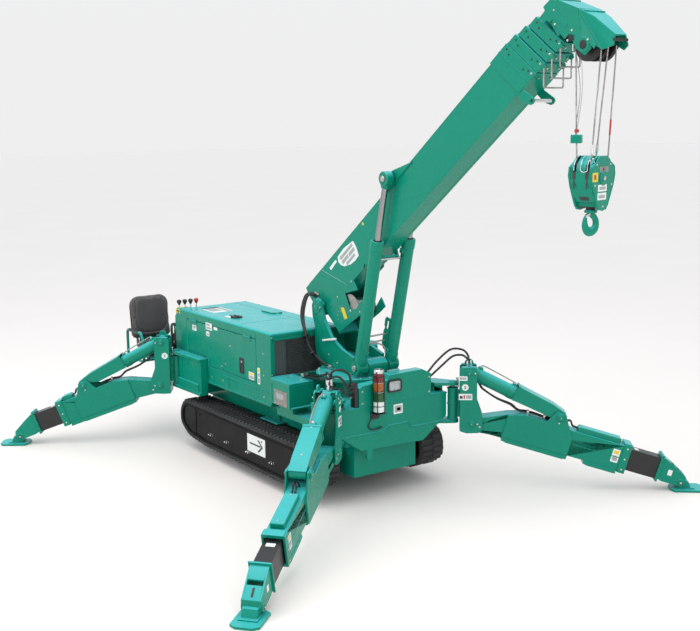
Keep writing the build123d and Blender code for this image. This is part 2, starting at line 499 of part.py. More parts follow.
CHEEK = [
    (-96, BLOCK_Z1 - 38), (96, BLOCK_Z1 - 38), (138, BLOCK_Z1 - 62), (146, BLOCK_Z1 - 112), (126, BLOCK_Z1 - 176), (64, BLOCK_Z0 + 26),
    (38, BLOCK_Z0 + 4), (0, BLOCK_Z0 - 4), (-38, BLOCK_Z0 + 4), (-64, BLOCK_Z0 + 26), (-126, BLOCK_Z1 - 176), (-146, BLOCK_Z1 - 112), (-138, BLOCK_Z1 - 62),
]
with BuildPart() as block:
    both_sides(CHEEK, BLOCK, BLOCK_HALF - 10, BLOCK_HALF)
    # guard plate wrapped under and round the sheaves, with a ferrule shaft and the swivel bearer
    slab([
        (-136, SHEAVE_Z + 40), (-136, SHEAVE_Z - 20), (-112, SHEAVE_Z - 86), (-60, SHEAVE_Z - 140), (60, SHEAVE_Z - 140),
        (112, SHEAVE_Z - 86), (136, SHEAVE_Z - 20), (136, SHEAVE_Z + 40), (128, SHEAVE_Z + 40), (128, SHEAVE_Z - 18), (105, SHEAVE_Z - 82),
        (56, SHEAVE_Z - 132), (-56, SHEAVE_Z - 132), (-105, SHEAVE_Z - 82), (-128, SHEAVE_Z - 18), (-128, SHEAVE_Z + 40),
    ], BLOCK, -BLOCK_HALF + 9, BLOCK_HALF - 9)
    slab(rect(-50, 50, BLOCK_Z1 - 12, BLOCK_Z1), BLOCK, -BLOCK_HALF, BLOCK_HALF)
    both_sides([(-50, BLOCK_Z1 - 2), (50, BLOCK_Z1 - 2), (90, BLOCK_Z1 - 40), (-90, BLOCK_Z1 - 40)], BLOCK, BLOCK_HALF - 10, BLOCK_HALF)
    disc((0, SHEAVE_Z), 24, BLOCK, -BLOCK_HALF - 8, BLOCK_HALF + 8)
    for s in (-1, 1):
        disc((0, SHEAVE_Z), BLOCK_SHEAVE_R, BLOCK, s * BLOCK_SHEAVE_X - 11, s * BLOCK_SHEAVE_X + 11)
    slab(rect(-46, 46, BLOCK_Z0 + 20, BLOCK_Z0 + 66), BLOCK, -BLOCK_HALF + 9, BLOCK_HALF - 9)
keep("hook_block", block)

with BuildPart() as hook:
    with BuildSketch(HOOK.offset(-19)) as bend:
        with Locations((0, HOOK_EYE_Z - 10)):
            Ellipse(72, 86)
        with Locations((4, HOOK_EYE_Z)):
            Ellipse(32, 42, mode=Mode.SUBTRACT)
        with BuildLine():
            Polyline((-8, HOOK_EYE_Z + 18), (-28, HOOK_EYE_Z + 10), (-74, HOOK_EYE_Z + 40), (-60, HOOK_EYE_Z + 84), (-34, HOOK_EYE_Z + 74), close=True)
        make_face(mode=Mode.SUBTRACT)
    extrude(bend.sketch, amount=38)
    disc((BLOCK_X, BLOCK_Y), 24, PLAN, HOOK_EYE_Z + 40, BLOCK_Z0 + 15)
keep("hook", hook)

# ---------------------------------------------------------------- outriggers
for leg in LEGS:
    n = f"outrigger_{leg['name']}"
    reach = hypot(leg["fx"] - leg["sx"], leg["fy"] - leg["sy"])
    cx, cy = (leg["fx"] - leg["sx"]) / reach, (leg["fy"] - leg["sy"]) / reach
    # the leg's own upright plane: s out from the swivel, z up
    plane = Plane(origin=(leg["sx"] - DATUM_X, leg["sy"], 0), x_dir=(cx, cy, 0), z_dir=(cy, -cx, 0))
    tilt = -radians(leg["tilt"])
    pivot = (150.0, leg["pz"])
    arm_x = plane.x_dir * cos(tilt) + Vector(0, 0, 1) * sin(tilt)
    arm = Plane(origin=plane.from_local_coords((pivot[0], pivot[1], 0)), x_dir=arm_x, z_dir=plane.z_dir)

    # post: side plates, back web and the swivel tube
    with BuildPart() as post:
        outline = [
            (56, 475), (56, 968), (76, 992), (168, 996), (192, 978), (192, 713), (236, 590),
            (236, 485), (205, leg["pz"] - 74), (110, leg["pz"] - 78),
        ]
        both_sides(outline, plane, POST_IN, POST_OUT)
        slab(rect(56, 68, 475, 800), plane, -POST_IN, POST_IN)
        slab(rect(18, 60, 575, 795), plane, -18, 18)
        for z0, z1 in ((557, 813),):
            disc((leg["sx"], leg["sy"]), SWIVEL_TUBE, PLAN, z0, z1)
            disc((leg["sx"], leg["sy"]), SWIVEL_PIN + 0.5, PLAN, z0 - 1, z1 + 1, mode=Mode.SUBTRACT)
        disc(pivot, 20, plane, -POST_OUT - 6, POST_OUT + 6)
        disc(HEAD_PIN, 20, plane, -POST_OUT - 6, POST_OUT + 6)
    keep(f"{n}_post", post)

    # arm: root plates around the pivot, the outer box, doublers with the cylinder's lugs, end collar
    length = leg["arm"]
    with BuildPart() as outer:
        slab([
            (-46, -20), (-20, -52), (60, -58), (250, ARM_V0), (length, ARM_V0), (length, ARM_V1), (700, ARM_V1),
            (600, 182), (385, 190), (250, 152), (60, 66), (0, 50), (-35, 34),
        ], arm, -ARM_HALF, ARM_HALF)
        slab(rect(330, length + 5, ARM_V0 + LEG_WALL, ARM_V1 - LEG_WALL), arm, -ARM_HALF + LEG_WALL, ARM_HALF - LEG_WALL, mode=Mode.SUBTRACT)
        disc((0, 0), 20.5, arm, -ARM_HALF - 1, ARM_HALF + 1, mode=Mode.SUBTRACT)
        both_sides([
            (255, -36), (255, 150), (385, 190), (560, 184), (612, 282), (690, 282), (752, 172),
            (790, 120), (790, -36),
        ], arm, ARM_HALF, ARM_HALF + 12)
        both_sides(rect(length - 60, length, ARM_V0 - 14, ARM_V1 + 14), arm, ARM_HALF, ARM_HALF + 10)
        for v0, v1 in ((ARM_V0 - 14, ARM_V0), (ARM_V1, ARM_V1 + 14)):
            slab(rect(length - 60, length, v0, v1), arm, -ARM_HALF, ARM_HALF)
        both_sides([(LUG_PIN[0] + 26 * cos(radians(t)), LUG_PIN[1] + 26 * sin(radians(t))) for t in range(0, 360, 30)], arm, ARM_HALF + 11, ARM_HALF + 18)
    keep(f"{n}_arm", outer)

    # inner box, black, which slides out of the arm
    mid = (ARM_V0 + ARM_V1) / 2
    start, end = length - 520.0, length + leg["shows"]
    with BuildPart() as inner:
        slab(rect(start, end, mid - LEG_BOX_HIGH / 2, mid + LEG_BOX_HIGH / 2), arm, -LEG_BOX_HALF, LEG_BOX_HALF)
        slab(rect(start - 5, end + 5, mid - LEG_BOX_HIGH / 2 + 6, mid + LEG_BOX_HIGH / 2 - 6), arm, -LEG_BOX_HALF + 6, LEG_BOX_HALF - 6, mode=Mode.SUBTRACT)
    keep(f"{n}_inner_box", inner)

    # foot: end flange, clevis plates, neck and pad
    foot_u, foot_v = tuple(arm.to_local_coords(Vector(leg["fx"] - DATUM_X, leg["fy"], 0)))[:2]
    with BuildPart() as foot:
        slab(rect(end, end + 14, mid - 102, mid + 108), arm, -74, 74)
        both_sides([
            (end + 14, mid + 96), (end + 44, mid + 92), (end + 228, mid - 2), (end + 246, mid - 56),
            (end + 200, mid - 94), (end + 60, mid - 92), (end + 14, mid - 80),
        ], arm, 52, 64)
        slab([(end + 14, mid + 96), (end + 44, mid + 92), (end + 110, mid + 58), (end + 110, mid + 46), (end + 40, mid + 80), (end + 14, mid + 84)], arm, -52, 52)
        slab([(end + 140, mid + 42), (end + 228, mid - 2), (end + 246, mid - 56), (end + 234, mid - 56), (end + 218, mid - 8), (end + 136, mid + 32)], arm, -52, 52)
        disc((end + 204, mid - 62), 20, arm, -70, 70)
        pad = Plane(origin=(leg["fx"] - DATUM_X, leg["fy"], 0), x_dir=(cx, cy, 0), z_dir=(0, 0, 1))
        slab([
            (-PAD_L / 2, -PAD_W / 2 + 40), (-PAD_L / 2 + 30, -PAD_W / 2), (PAD_L / 2 - 30, -PAD_W / 2), (PAD_L / 2, -PAD_W / 2 + 40),
            (PAD_L / 2, PAD_W / 2 - 40), (PAD_L / 2 - 30, PAD_W / 2), (-PAD_L / 2 + 30, PAD_W / 2), (-PAD_L / 2, PAD_W / 2 - 40),
        ], pad, 0, PAD_T)
        # neck from the pad up to the clevis pin
        neck_s = reach - 12
        slab([(neck_s - 62, PAD_T - 1), (neck_s + 40, PAD_T - 1), (neck_s + 18, 78), (neck_s - 52, 88)], plane, -51, 51)
    keep(f"{n}_foot", foot)

    # cylinder from the post's head down to the arm's lugs
    lug_s, lug_z = tuple(plane.to_local_coords(arm.from_local_coords((LUG_PIN[0], LUG_PIN[1], 0))))[:2]
    ds, dzc = lug_s - HEAD_PIN[0], lug_z - HEAD_PIN[1]
    cyl_len = hypot(ds, dzc)
    cyl_x = plane.x_dir * (ds / cyl_len) + Vector(0, 0, 1) * (dzc / cyl_len)
    cyl = Plane(origin=plane.from_local_coords((HEAD_PIN[0], HEAD_PIN[1], 0)), x_dir=cyl_x, z_dir=plane.z_dir)
    tube = Plane(origin=cyl.origin, x_dir=plane.z_dir, z_dir=cyl_x)
    with BuildPart() as barrel:
        disc((0, 0), CYL_R, tube, 30, BARREL_L)
        disc((0, 0), CYL_R - 9, tube, 50, BARREL_L - 25, mode=Mode.SUBTRACT)
        disc((0, 0), CYL_ROD + 1, tube, 50, BARREL_L + 1, mode=Mode.SUBTRACT)
        disc((0, 0), 48, cyl, -34, 34)
        disc((0, 0), 20.5, cyl, -80, 80, mode=Mode.SUBTRACT)
    keep(f"{n}_cylinder", barrel)
    with BuildPart() as rod:
        disc((0, 0), CYL_ROD, tube, BARREL_L - 34, cyl_len - 20)
        eye = Plane(origin=cyl.from_local_coords((cyl_len, 0, 0)), x_dir=cyl_x, z_dir=cyl.z_dir)
        disc((0, 0), 36, eye, -61, 61)
        # channel cover that runs over the barrel
        cover0, cover1 = BARREL_L - 2.0, cyl_len - 95.0
        both_sides([(cover0, 76), (cover1, 66), (cyl_len + 24, 46), (cyl_len + 24, -20), (cyl_len - 60, -36), (cover0, -46)], cyl, 61, 65)
        slab([(cover0, 76), (cover1, 66), (cyl_len + 24, 46), (cyl_len + 24, 42), (cover1, 62), (cover0, 72)], cyl, -65, 65)
    keep(f"{n}_rod", rod)
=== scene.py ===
import json
import math
import random
import bmesh
import bpy
from mathutils import Matrix, Vector


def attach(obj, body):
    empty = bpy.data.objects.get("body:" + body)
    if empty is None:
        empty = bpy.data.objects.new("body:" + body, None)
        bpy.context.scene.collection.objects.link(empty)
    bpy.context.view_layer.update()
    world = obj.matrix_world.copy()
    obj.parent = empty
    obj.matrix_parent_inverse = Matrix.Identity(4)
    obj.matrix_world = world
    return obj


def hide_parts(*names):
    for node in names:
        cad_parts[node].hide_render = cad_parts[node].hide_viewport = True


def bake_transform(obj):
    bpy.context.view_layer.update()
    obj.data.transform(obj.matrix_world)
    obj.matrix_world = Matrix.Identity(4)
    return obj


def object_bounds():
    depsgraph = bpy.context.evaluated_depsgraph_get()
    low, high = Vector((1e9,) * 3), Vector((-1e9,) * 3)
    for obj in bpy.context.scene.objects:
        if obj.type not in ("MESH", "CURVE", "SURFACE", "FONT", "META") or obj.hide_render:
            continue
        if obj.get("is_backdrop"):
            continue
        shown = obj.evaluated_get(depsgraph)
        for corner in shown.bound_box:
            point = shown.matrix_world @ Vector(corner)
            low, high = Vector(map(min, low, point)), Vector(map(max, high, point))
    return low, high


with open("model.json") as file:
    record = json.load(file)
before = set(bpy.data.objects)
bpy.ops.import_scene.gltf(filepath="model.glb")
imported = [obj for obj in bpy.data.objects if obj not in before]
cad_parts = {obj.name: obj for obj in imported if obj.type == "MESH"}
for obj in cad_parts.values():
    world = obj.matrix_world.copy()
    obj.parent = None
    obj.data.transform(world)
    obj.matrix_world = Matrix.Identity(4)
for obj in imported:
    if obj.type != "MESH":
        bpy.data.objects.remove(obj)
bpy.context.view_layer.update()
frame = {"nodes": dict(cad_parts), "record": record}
NODES = frame["nodes"]
DX = 0.691  # drawing x = 0 lies this far ahead of the stored origin


# ------------------------------------------------------------------ places
def M(x, y, z):
    """Drawing millimetres to the row frame."""
    return Vector((x / 1000 - DX, y / 1000, z / 1000))


class Fr:
    """A drawing plane: a point and three directions, in millimetres."""

    def __init__(self, origin, ex, ey):
        self.o = Vector(origin)
        self.ex = Vector(ex).normalized()
        self.ey = Vector(ey).normalized()
        self.en = self.ex.cross(self.ey).normalized()

    def mm(self, a, b, c=0.0):
        return self.o + self.ex * a + self.ey * b + self.en * c

    def pt(self, a, b, c=0.0):
        p = self.mm(a, b, c)
        return M(p.x, p.y, p.z)

    def at(self, a, b, c=0.0):
        f = Fr(self.mm(a, b, c), self.ex, self.ey)
        return f


X, Y, Z = Vector((1, 0, 0)), Vector((0, 1, 0)), Vector((0, 0, 1))
SIDE = Fr((0, 0, 0), X, Z)       # (x, z), normal -Y
PLAN = Fr((0, 0, 0), X, Y)       # (x, y), normal +Z
CROSS = Fr((0, 0, 0), Y, Z)      # (y, z), normal +X
E = math.radians(37.64)
BOOM = Fr((533, 0, 1431), (math.cos(E), 0, math.sin(E)), (-math.sin(E), 0, math.cos(E)))
D_LEN = math.hypot(350, 1464)
DERRICK = Fr((1120, 0, 1026), (350, 0, 1464), (-1464, 0, 350))
LEG_ROWS = {
    "front_left": (1370, 580, 2557, 2000, 535, 16.0, 1260, 244),
    "front_right": (1370, -580, 2557, -2000, 535, 16.0, 1260, 244),
    "rear_left": (-1100, 600, -1965, 1841, 550, 20.0, 965, 220),
    "rear_right": (-1100, -600, -1965, -1841, 550, 20.0, 965, 220),
}
HEAD_PIN, LUG_PIN, BARREL_L = (130.0, 945.0), (657.0, 246.0), 400.0


class Leg:
    def __init__(self, name, sx, sy, fx, fy, pz, tilt, arm, shows):
        self.name, self.arm_l, self.shows, self.pz = name, arm, shows, pz
        self.reach = math.hypot(fx - sx, fy - sy)
        d = Vector(((fx - sx) / self.reach, (fy - sy) / self.reach, 0))
        self.post = Fr((sx, sy, 0), d, Z)
        a = -math.radians(tilt)
        ax = d * math.cos(a) + Z * math.sin(a)
        self.arm = Fr(self.post.mm(150, pz), ax, -d * math.sin(a) + Z * math.cos(a))
        lug = self.arm.mm(*LUG_PIN)
        head = self.post.mm(*HEAD_PIN)
        self.cyl_l = (lug - head).length
        cx = (lug - head).normalized()
        self.cyl = Fr(head, cx, Z - cx * cx.dot(Z))
        self.foot = Fr((fx, fy, 0), d, Vector((-d.y, d.x, 0)))
        self.side = -1 if sy < 0 else 1
        # which normal of the leg's plane faces the front of the machine
        self.fore = 1 if self.post.en.x > 0 else -1


LEGS = {n: Leg(n, *r) for n, r in LEG_ROWS.items()}

# ------------------------------------------------------------------ camera, light, floor
cam_data = bpy.data.cameras.new("camera")
camera = bpy.data.objects.new("camera", cam_data)
bpy.context.scene.collection.objects.link(camera)
bpy.context.scene.camera = camera
right = Vector((0.57754873, 0.8162933, -0.01013488))
up = Vector((-0.14281352, 0.11325203, 0.98324884))
back = Vector((0.80376723, -0.56642672, 0.18198629))
rot = Matrix((right, up, back)).transposed()
camera.matrix_world = Matrix.Translation(Vector((7.9827 - DX, -5.102, 2.925))) @ rot.to_4x4()
cam_data.sensor_width = 36
cam_data.lens = 1122.19 * 36 / 700
cam_data.shift_x = (350 - 346.82) / 700
cam_data.shift_y = -(315.5 - 325.57) / 700
cam_data.clip_end = 200


def light(name, kind, place, target, energy, size, colour=(1, 1, 1)):
    data = bpy.data.lights.new(name, kind)
    data.energy, data.color = energy, colour
    if kind == "AREA":
        data.shape, data.size, data.size_y = "RECTANGLE", size[0], size[1]
    else:
        data.angle = size
    ob = bpy.data.objects.new(name, data)
    bpy.context.scene.collection.objects.link(ob)
    ob.location = place
    ob.rotation_mode = "QUATERNION"
    ob.rotation_quaternion = (Vector(target) - Vector(place)).to_track_quat("-Z", "Y")
    return ob


light("key_overhead", "AREA", (1.0, -3.0, 8.5), (0.2, 0, 0.6), 270, (8, 6), (1.0, 1.0, 1.0))
light("side_front", "AREA", (8.5, -1.0, 3.8), (0.2, 0, 1.2), 90, (4, 3), (1.0, 1.0, 1.0))
light("side_right", "AREA", (-1.5, -8.5, 4.0), (0.0, 0, 0.9), 130, (6, 3.5), (1, 1, 1))

# the studio's dome: pale at the horizon so that the floor runs into it, bright overhead
world = bpy.data.worlds.new("studio")
bpy.context.scene.world = world
world.use_nodes = True
wt = world.node_tree
tc = wt.nodes.new("ShaderNodeTexCoord")
sep = wt.nodes.new("ShaderNodeSeparateXYZ")
ramp = wt.nodes.new("ShaderNodeValToRGB")
wt.links.new(tc.outputs["Generated"], sep.inputs["Vector"])
wt.links.new(sep.outputs["Z"], ramp.inputs["Fac"])
wt.links.new(ramp.outputs["Color"], wt.nodes["Background"].inputs["Color"])
elements = ramp.color_ramp.elements
stops = [(0.0, (0.86, 0.86, 0.86)), (0.10, (0.86, 0.865, 0.87)), (0.19, (0.66, 0.80, 0.86)), (0.42, (0.56, 0.66, 0.70)), (0.60, (1.03, 1.10, 1.14)), (1.0, (1.08, 1.15, 1.19))]
for i, (place, colour) in enumerate(stops):
    e = elements[i] if i < 2 else elements.new(place)
    e.position, e.color = place, (*colour, 1)
wt.nodes["Background"].inputs["Strength"].default_value = 1.0
bpy.context.scene.view_settings.view_transform = "Standard"


# ------------------------------------------------------------------ materials
def sock(node, *names):
    for n in names:
        if n in node.inputs:
            return node.inputs[n]
    raise KeyError(names)


def material(name, base, rough=0.4, metal=0.0, coat=0.0, coat_rough=0.05, spec=0.5, vary=0.08, vary_scale=2.5,
             rough_vary=0.06, bump=0.0, bump_scale=300.0, bump_kind="noise", dist=0.0006, grime=0.0, alt=None, grime_colour=(0.05, 0.05, 0.045),
             transmission=0.0, alpha=1.0, ior=None, emission=None, sheen=0.0, wear=0.0, wear_colour=(0.35, 0.35, 0.34), painted_top_highlight=None):
    """A Principled material whose colour, roughness and fine relief all come from noise in object space, with an
    optional painted highlight that lightens faces pointing up.
    """
    m = bpy.data.materials.new(name)
    m.use_nodes = True
    nt = m.node_tree
    b = nt.nodes["Principled BSDF"]
    link = nt.links.new
    tc = nt.nodes.new("ShaderNodeTexCoord")
    big = nt.nodes.new("ShaderNodeTexNoise")
    big.inputs["Scale"].default_value = vary_scale
    big.inputs["Detail"].default_value = 5
    link(tc.outputs["Object"], big.inputs["Vector"])
    ramp = nt.nodes.new("ShaderNodeValToRGB")
    lo = tuple(c * (1 - vary) for c in base)
    hi = alt if alt else tuple(min(1, c * (1 + vary)) for c in base)
    ramp.color_ramp.elements[0].position, ramp.color_ramp.elements[1].position = 0.35, 0.65
    ramp.color_ramp.elements[0].color = (*lo, 1)
    ramp.color_ramp.elements[1].color = (*hi, 1)
    link(big.outputs["Fac"], ramp.inputs["Fac"])
    colour = ramp.outputs["Color"]
    if grime:
        spots = nt.nodes.new("ShaderNodeTexNoise")
        spots.inputs["Scale"].default_value = 14
        spots.inputs["Detail"].default_value = 9
        spots.inputs["Roughness"].default_value = 0.7
        link(tc.outputs["Object"], spots.inputs["Vector"])
        sr = nt.nodes.new("ShaderNodeMapRange")
        sr.inputs["From Min"].default_value, sr.inputs["From Max"].default_value = 0.52, 0.78
        sr.inputs["To Min"].default_value, sr.inputs["To Max"].default_value = 0.0, grime
        link(spots.outputs["Fac"], sr.inputs["Value"])
        mix = nt.nodes.new("ShaderNodeMix")
        mix.data_type = "RGBA"
        link(sr.outputs["Result"], mix.inputs["Factor"])
        link(colour, mix.inputs[6])
        mix.inputs[7].default_value = (*grime_colour, 1)
        colour = mix.outputs[2]
    if wear:
        geo = nt.nodes.new("ShaderNodeNewGeometry")
        pr = nt.nodes.new("ShaderNodeMapRange")
        pr.inputs["From Min"].default_value, pr.inputs["From Max"].default_value = 0.56, 0.66
        pr.inputs["To Min"].default_value, pr.inputs["To Max"].default_value = 0.0, wear
        link(geo.outputs["Pointiness"], pr.inputs["Value"])
        mix = nt.nodes.new("ShaderNodeMix")
        mix.data_type = "RGBA"
        link(pr.outputs["Result"], mix.inputs["Factor"])
        link(colour, mix.inputs[6])
        mix.inputs[7].default_value = (*wear_colour, 1)
        colour = mix.outputs[2]
    if painted_top_highlight:
        # painted highlight: faces that point up are lightened towards pale cyan, standing in for the bright overhead
        # light
        geo = nt.nodes.new("ShaderNodeNewGeometry")
        parts = nt.nodes.new("ShaderNodeSeparateXYZ")
        link(geo.outputs["Normal"], parts.inputs["Vector"])
        fr = nt.nodes.new("ShaderNodeMapRange")
        fr.interpolation_type = "SMOOTHSTEP"
        fr.inputs["From Min"].default_value, fr.inputs["From Max"].default_value = 0.15, 0.95
        fr.inputs["To Min"].default_value, fr.inputs["To Max"].default_value = 0.0, painted_top_highlight[3]
        link(parts.outputs["Z"], fr.inputs["Value"])
        mix = nt.nodes.new("ShaderNodeMix")
        mix.data_type = "RGBA"
        link(fr.outputs["Result"], mix.inputs["Factor"])
        link(colour, mix.inputs[6])
        mix.inputs[7].default_value = (*painted_top_highlight[:3], 1)
        colour = mix.outputs[2]
    link(colour, b.inputs["Base Color"])
    rn = nt.nodes.new("ShaderNodeTexNoise")
    rn.inputs["Scale"].default_value = 9
    rn.inputs["Detail"].default_value = 7
    link(tc.outputs["Object"], rn.inputs["Vector"])
    rr = nt.nodes.new("ShaderNodeMapRange")
    rr.inputs["From Min"].default_value, rr.inputs["From Max"].default_value = 0.3, 0.7
    rr.inputs["To Min"].default_value = max(0.02, rough - rough_vary)
    rr.inputs["To Max"].default_value = min(1, rough + rough_vary)
    link(rn.outputs["Fac"], rr.inputs["Value"])
    link(rr.outputs["Result"], b.inputs["Roughness"])
    b.inputs["Metallic"].default_value = metal
    b.inputs["Specular IOR Level"].default_value = spec
    b.inputs["Coat Weight"].default_value = coat
    b.inputs["Coat Roughness"].default_value = coat_rough
    if sheen:
        b.inputs["Sheen Weight"].default_value = sheen
    if transmission:
        b.inputs["Transmission Weight"].default_value = transmission
    if ior:
        b.inputs["IOR"].default_value = ior
    if alpha < 1:
        b.inputs["Alpha"].default_value = alpha
    if emission:
        b.inputs["Emission Color"].default_value = (*emission[:3], 1)
        b.inputs["Emission Strength"].default_value = emission[3]
    if bump:
        if bump_kind == "noise":
            t = nt.nodes.new("ShaderNodeTexNoise")
            t.inputs["Scale"].default_value = bump_scale
            t.inputs["Detail"].default_value = 3
            out = t.outputs["Fac"]
        elif bump_kind == "grain":
            t = nt.nodes.new("ShaderNodeTexVoronoi")
            t.feature = "DISTANCE_TO_EDGE"
            t.inputs["Scale"].default_value = bump_scale
            t.inputs["Randomness"].default_value = 1
            out = t.outputs["Distance"]
        else:
            t = nt.nodes.new("ShaderNodeTexWave")
            t.wave_type, t.bands_direction = "BANDS", "DIAGONAL"
            t.inputs["Scale"].default_value = bump_scale
            t.inputs["Distortion"].default_value = 0.4
            out = t.outputs["Fac"]
        link(tc.outputs["Object"], t.inputs["Vector"])
        bp = nt.nodes.new("ShaderNodeBump")
        bp.inputs["Strength"].default_value = bump
        bp.inputs["Distance"].default_value = dist
        link(out, bp.inputs["Height"])
        link(bp.outputs["Normal"], b.inputs["Normal"])
    return m


GREEN = (0.002, 0.226, 0.148)
MAT = {
    # body paint with a painted highlight on its upward faces, towards pale cyan, for the overhead light
    "green": material("body_green_paint", GREEN, rough=0.28, coat=0.12, coat_rough=0.07, spec=0.15, vary=0.035, vary_scale=1.3, bump=0.035, bump_scale=180, grime=0.03,
                      grime_colour=(0.004, 0.15, 0.11), painted_top_highlight=(0.06, 0.50, 0.52, 0.75)),
    "green_cast": material("cast_green_paint", GREEN, rough=0.36, coat=0.4, coat_rough=0.12, vary=0.08, bump=0.28, bump_scale=420, dist=0.0012, grime=0.12,
                           grime_colour=(0.004, 0.11, 0.08)),
    "black": material("satin_black_paint", (0.0095, 0.0095, 0.0105), rough=0.34, vary=0.25, bump=0.08, bump_scale=260, grime=0.25, grime_colour=(0.035, 0.034, 0.034)),
    "cover": material("track_cover_black", (0.0055, 0.0055, 0.006), rough=0.42, spec=0.11, vary=0.3, vary_scale=4, bump=0.2, bump_scale=160, grime=0.22, grime_colour=(0.018, 0.017, 0.0165)),
    "rubber": material("track_rubber", (0.028, 0.028, 0.029), rough=0.66, spec=0.25, vary=0.3, vary_scale=6, rough_vary=0.12, bump=0.5, bump_scale=380, dist=0.001, grime=0.45,
                       grime_colour=(0.075, 0.07, 0.068), wear=0.5, wear_colour=(0.07, 0.068, 0.068)),
    "hose": material("hose_rubber", (0.012, 0.012, 0.013), rough=0.42, vary=0.2, bump=0.25, bump_scale=700, dist=0.0005),
    "chrome": material("hard_chrome", (0.62, 0.62, 0.62), rough=0.13, metal=1.0, vary=0.05, rough_vary=0.05, bump=0.03, bump_scale=900, dist=0.0002),
    "steel": material("bare_steel", (0.36, 0.35, 0.335), rough=0.36, metal=1.0, vary=0.16, vary_scale=20, rough_vary=0.12, bump=0.2, bump_scale=800, dist=0.0003, grime=0.3,
                      grime_colour=(0.10, 0.085, 0.07)),
    "zinc": material("zinc_plate", (0.62, 0.61, 0.58), rough=0.28, metal=1.0, vary=0.1, vary_scale=60, rough_vary=0.1, bump=0.06, bump_scale=900, dist=0.0003),
    "iron": material("dark_iron", (0.035, 0.034, 0.033), rough=0.52, metal=0.6, vary=0.3, vary_scale=14, bump=0.4, bump_scale=300, dist=0.001, grime=0.4, grime_colour=(0.06, 0.045, 0.035)),
    "vinyl": material("seat_vinyl", (0.058, 0.05, 0.051), rough=0.5, vary=0.12, vary_scale=5, rough_vary=0.08, bump=0.35, bump_scale=650, bump_kind="grain", dist=0.0006, sheen=0.15),
    "thread": material("seat_thread", (0.02, 0.018, 0.018), rough=0.6, vary=0.2, bump=0.3, bump_scale=900),
    "mesh_grey": material("grille_mesh_paint", (0.075, 0.077, 0.078), rough=0.36, vary=0.12, bump=0.06, bump_scale=300),
    "rod": material("derrick_rod_chrome", (0.30, 0.30, 0.305), rough=0.16, metal=1.0, vary=0.06, rough_vary=0.05, bump=0.03, bump_scale=900, dist=0.0002),
    "plastic": material("black_plastic", (0.013, 0.013, 0.014), rough=0.38, vary=0.2, bump=0.15, bump_scale=500),
    "knob_red": material("red_plastic", (0.42, 0.018, 0.014), rough=0.3, vary=0.1, bump=0.05),
    "yellow": material("yellow_label", (0.72, 0.53, 0.02), rough=0.35, vary=0.05, bump=0.04, bump_scale=500, grime=0.1),
    "white": material("white_label", (0.76, 0.77, 0.75), rough=0.4, vary=0.03, vary_scale=30, bump=0.03, bump_scale=500, grime=0.08, grime_colour=(0.4, 0.4, 0.38)),
    "grey": material("grey_plate", (0.235, 0.215, 0.195), rough=0.5, vary=0.18, vary_scale=25, rough_vary=0.12, bump=0.15, bump_scale=120, grime=0.3, grime_colour=(0.16, 0.11, 0.1)),
    "print_grey": material("label_grey_panel", (0.33, 0.35, 0.35), rough=0.4, vary=0.1, vary_scale=90, bump=0.02),
    # dark print on labels; also thin dark sheets of painted shade in the foot's clevis window and the block's rope
    # slots
    "dark_print_and_shade": material("dark_print_and_shade_panel", (0.03, 0.03, 0.03), rough=0.4, vary=0.2, bump=0.02),
    "red_lens": material("lens_red", (0.19, 0.003, 0.006), rough=0.16, coat=0.35, vary=0.25, vary_scale=40, transmission=0.25, emission=(0.5, 0.0, 0.01, 0.03), bump=0.5, bump_scale=90, bump_kind="wave", dist=0.001),
    "amber_lens": material("lens_amber", (0.42, 0.10, 0.003), rough=0.16, coat=0.35, vary=0.22, vary_scale=40, transmission=0.25, emission=(0.9, 0.25, 0.0, 0.03), bump=0.5, bump_scale=90, bump_kind="wave", dist=0.001),
    "green_lens": material("lens_green", (0.003, 0.085, 0.016), rough=0.16, coat=0.35, vary=0.25, vary_scale=40, transmission=0.25, emission=(0.0, 0.3, 0.05, 0.02), bump=0.5, bump_scale=90, bump_kind="wave", dist=0.001),
    "glass": material("clear_lens", (0.93, 0.95, 0.96), rough=0.04, coat=0.0, vary=0.02, transmission=0.9, ior=1.47, bump=0.5, bump_scale=60, bump_kind="wave", dist=0.001),
    "reflector": material("lamp_reflector", (0.93, 0.93, 0.92), rough=0.22, metal=0.75, vary=0.12, vary_scale=50, bump=0.6, bump_scale=90, bump_kind="grain", dist=0.002),
    "floor": material("pale_floor", (0.92, 0.835, 0.80), rough=0.62, vary=0.008, vary_scale=0.6, rough_vary=0.04, bump=0.02, bump_scale=60, spec=0.2),
}


def set_materials(ob, mats):
    ob.data.materials.clear()
    for m in mats:
        ob.data.materials.append(m)


# ------------------------------------------------------------------ mesh tools
def finish_mesh(name, bm, mat, body, smooth=32.0, weighted=True):
    me = bpy.data.meshes.new(name)
    bmesh.ops.recalc_face_normals(bm, faces=bm.faces)
    bm.to_mesh(me)
    bm.free()
    ob = bpy.data.objects.new(name, me)
    bpy.context.scene.collection.objects.link(ob)
    if smooth:
        for p in me.polygons:
            p.use_smooth = True
        me.set_sharp_from_angle(angle=math.radians(smooth))
        if weighted:
            mod = ob.modifiers.new("normals", "WEIGHTED_NORMAL")
            mod.keep_sharp = True
    set_materials(ob, [MAT[mat]])
    if body:
        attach(ob, body)
    return ob


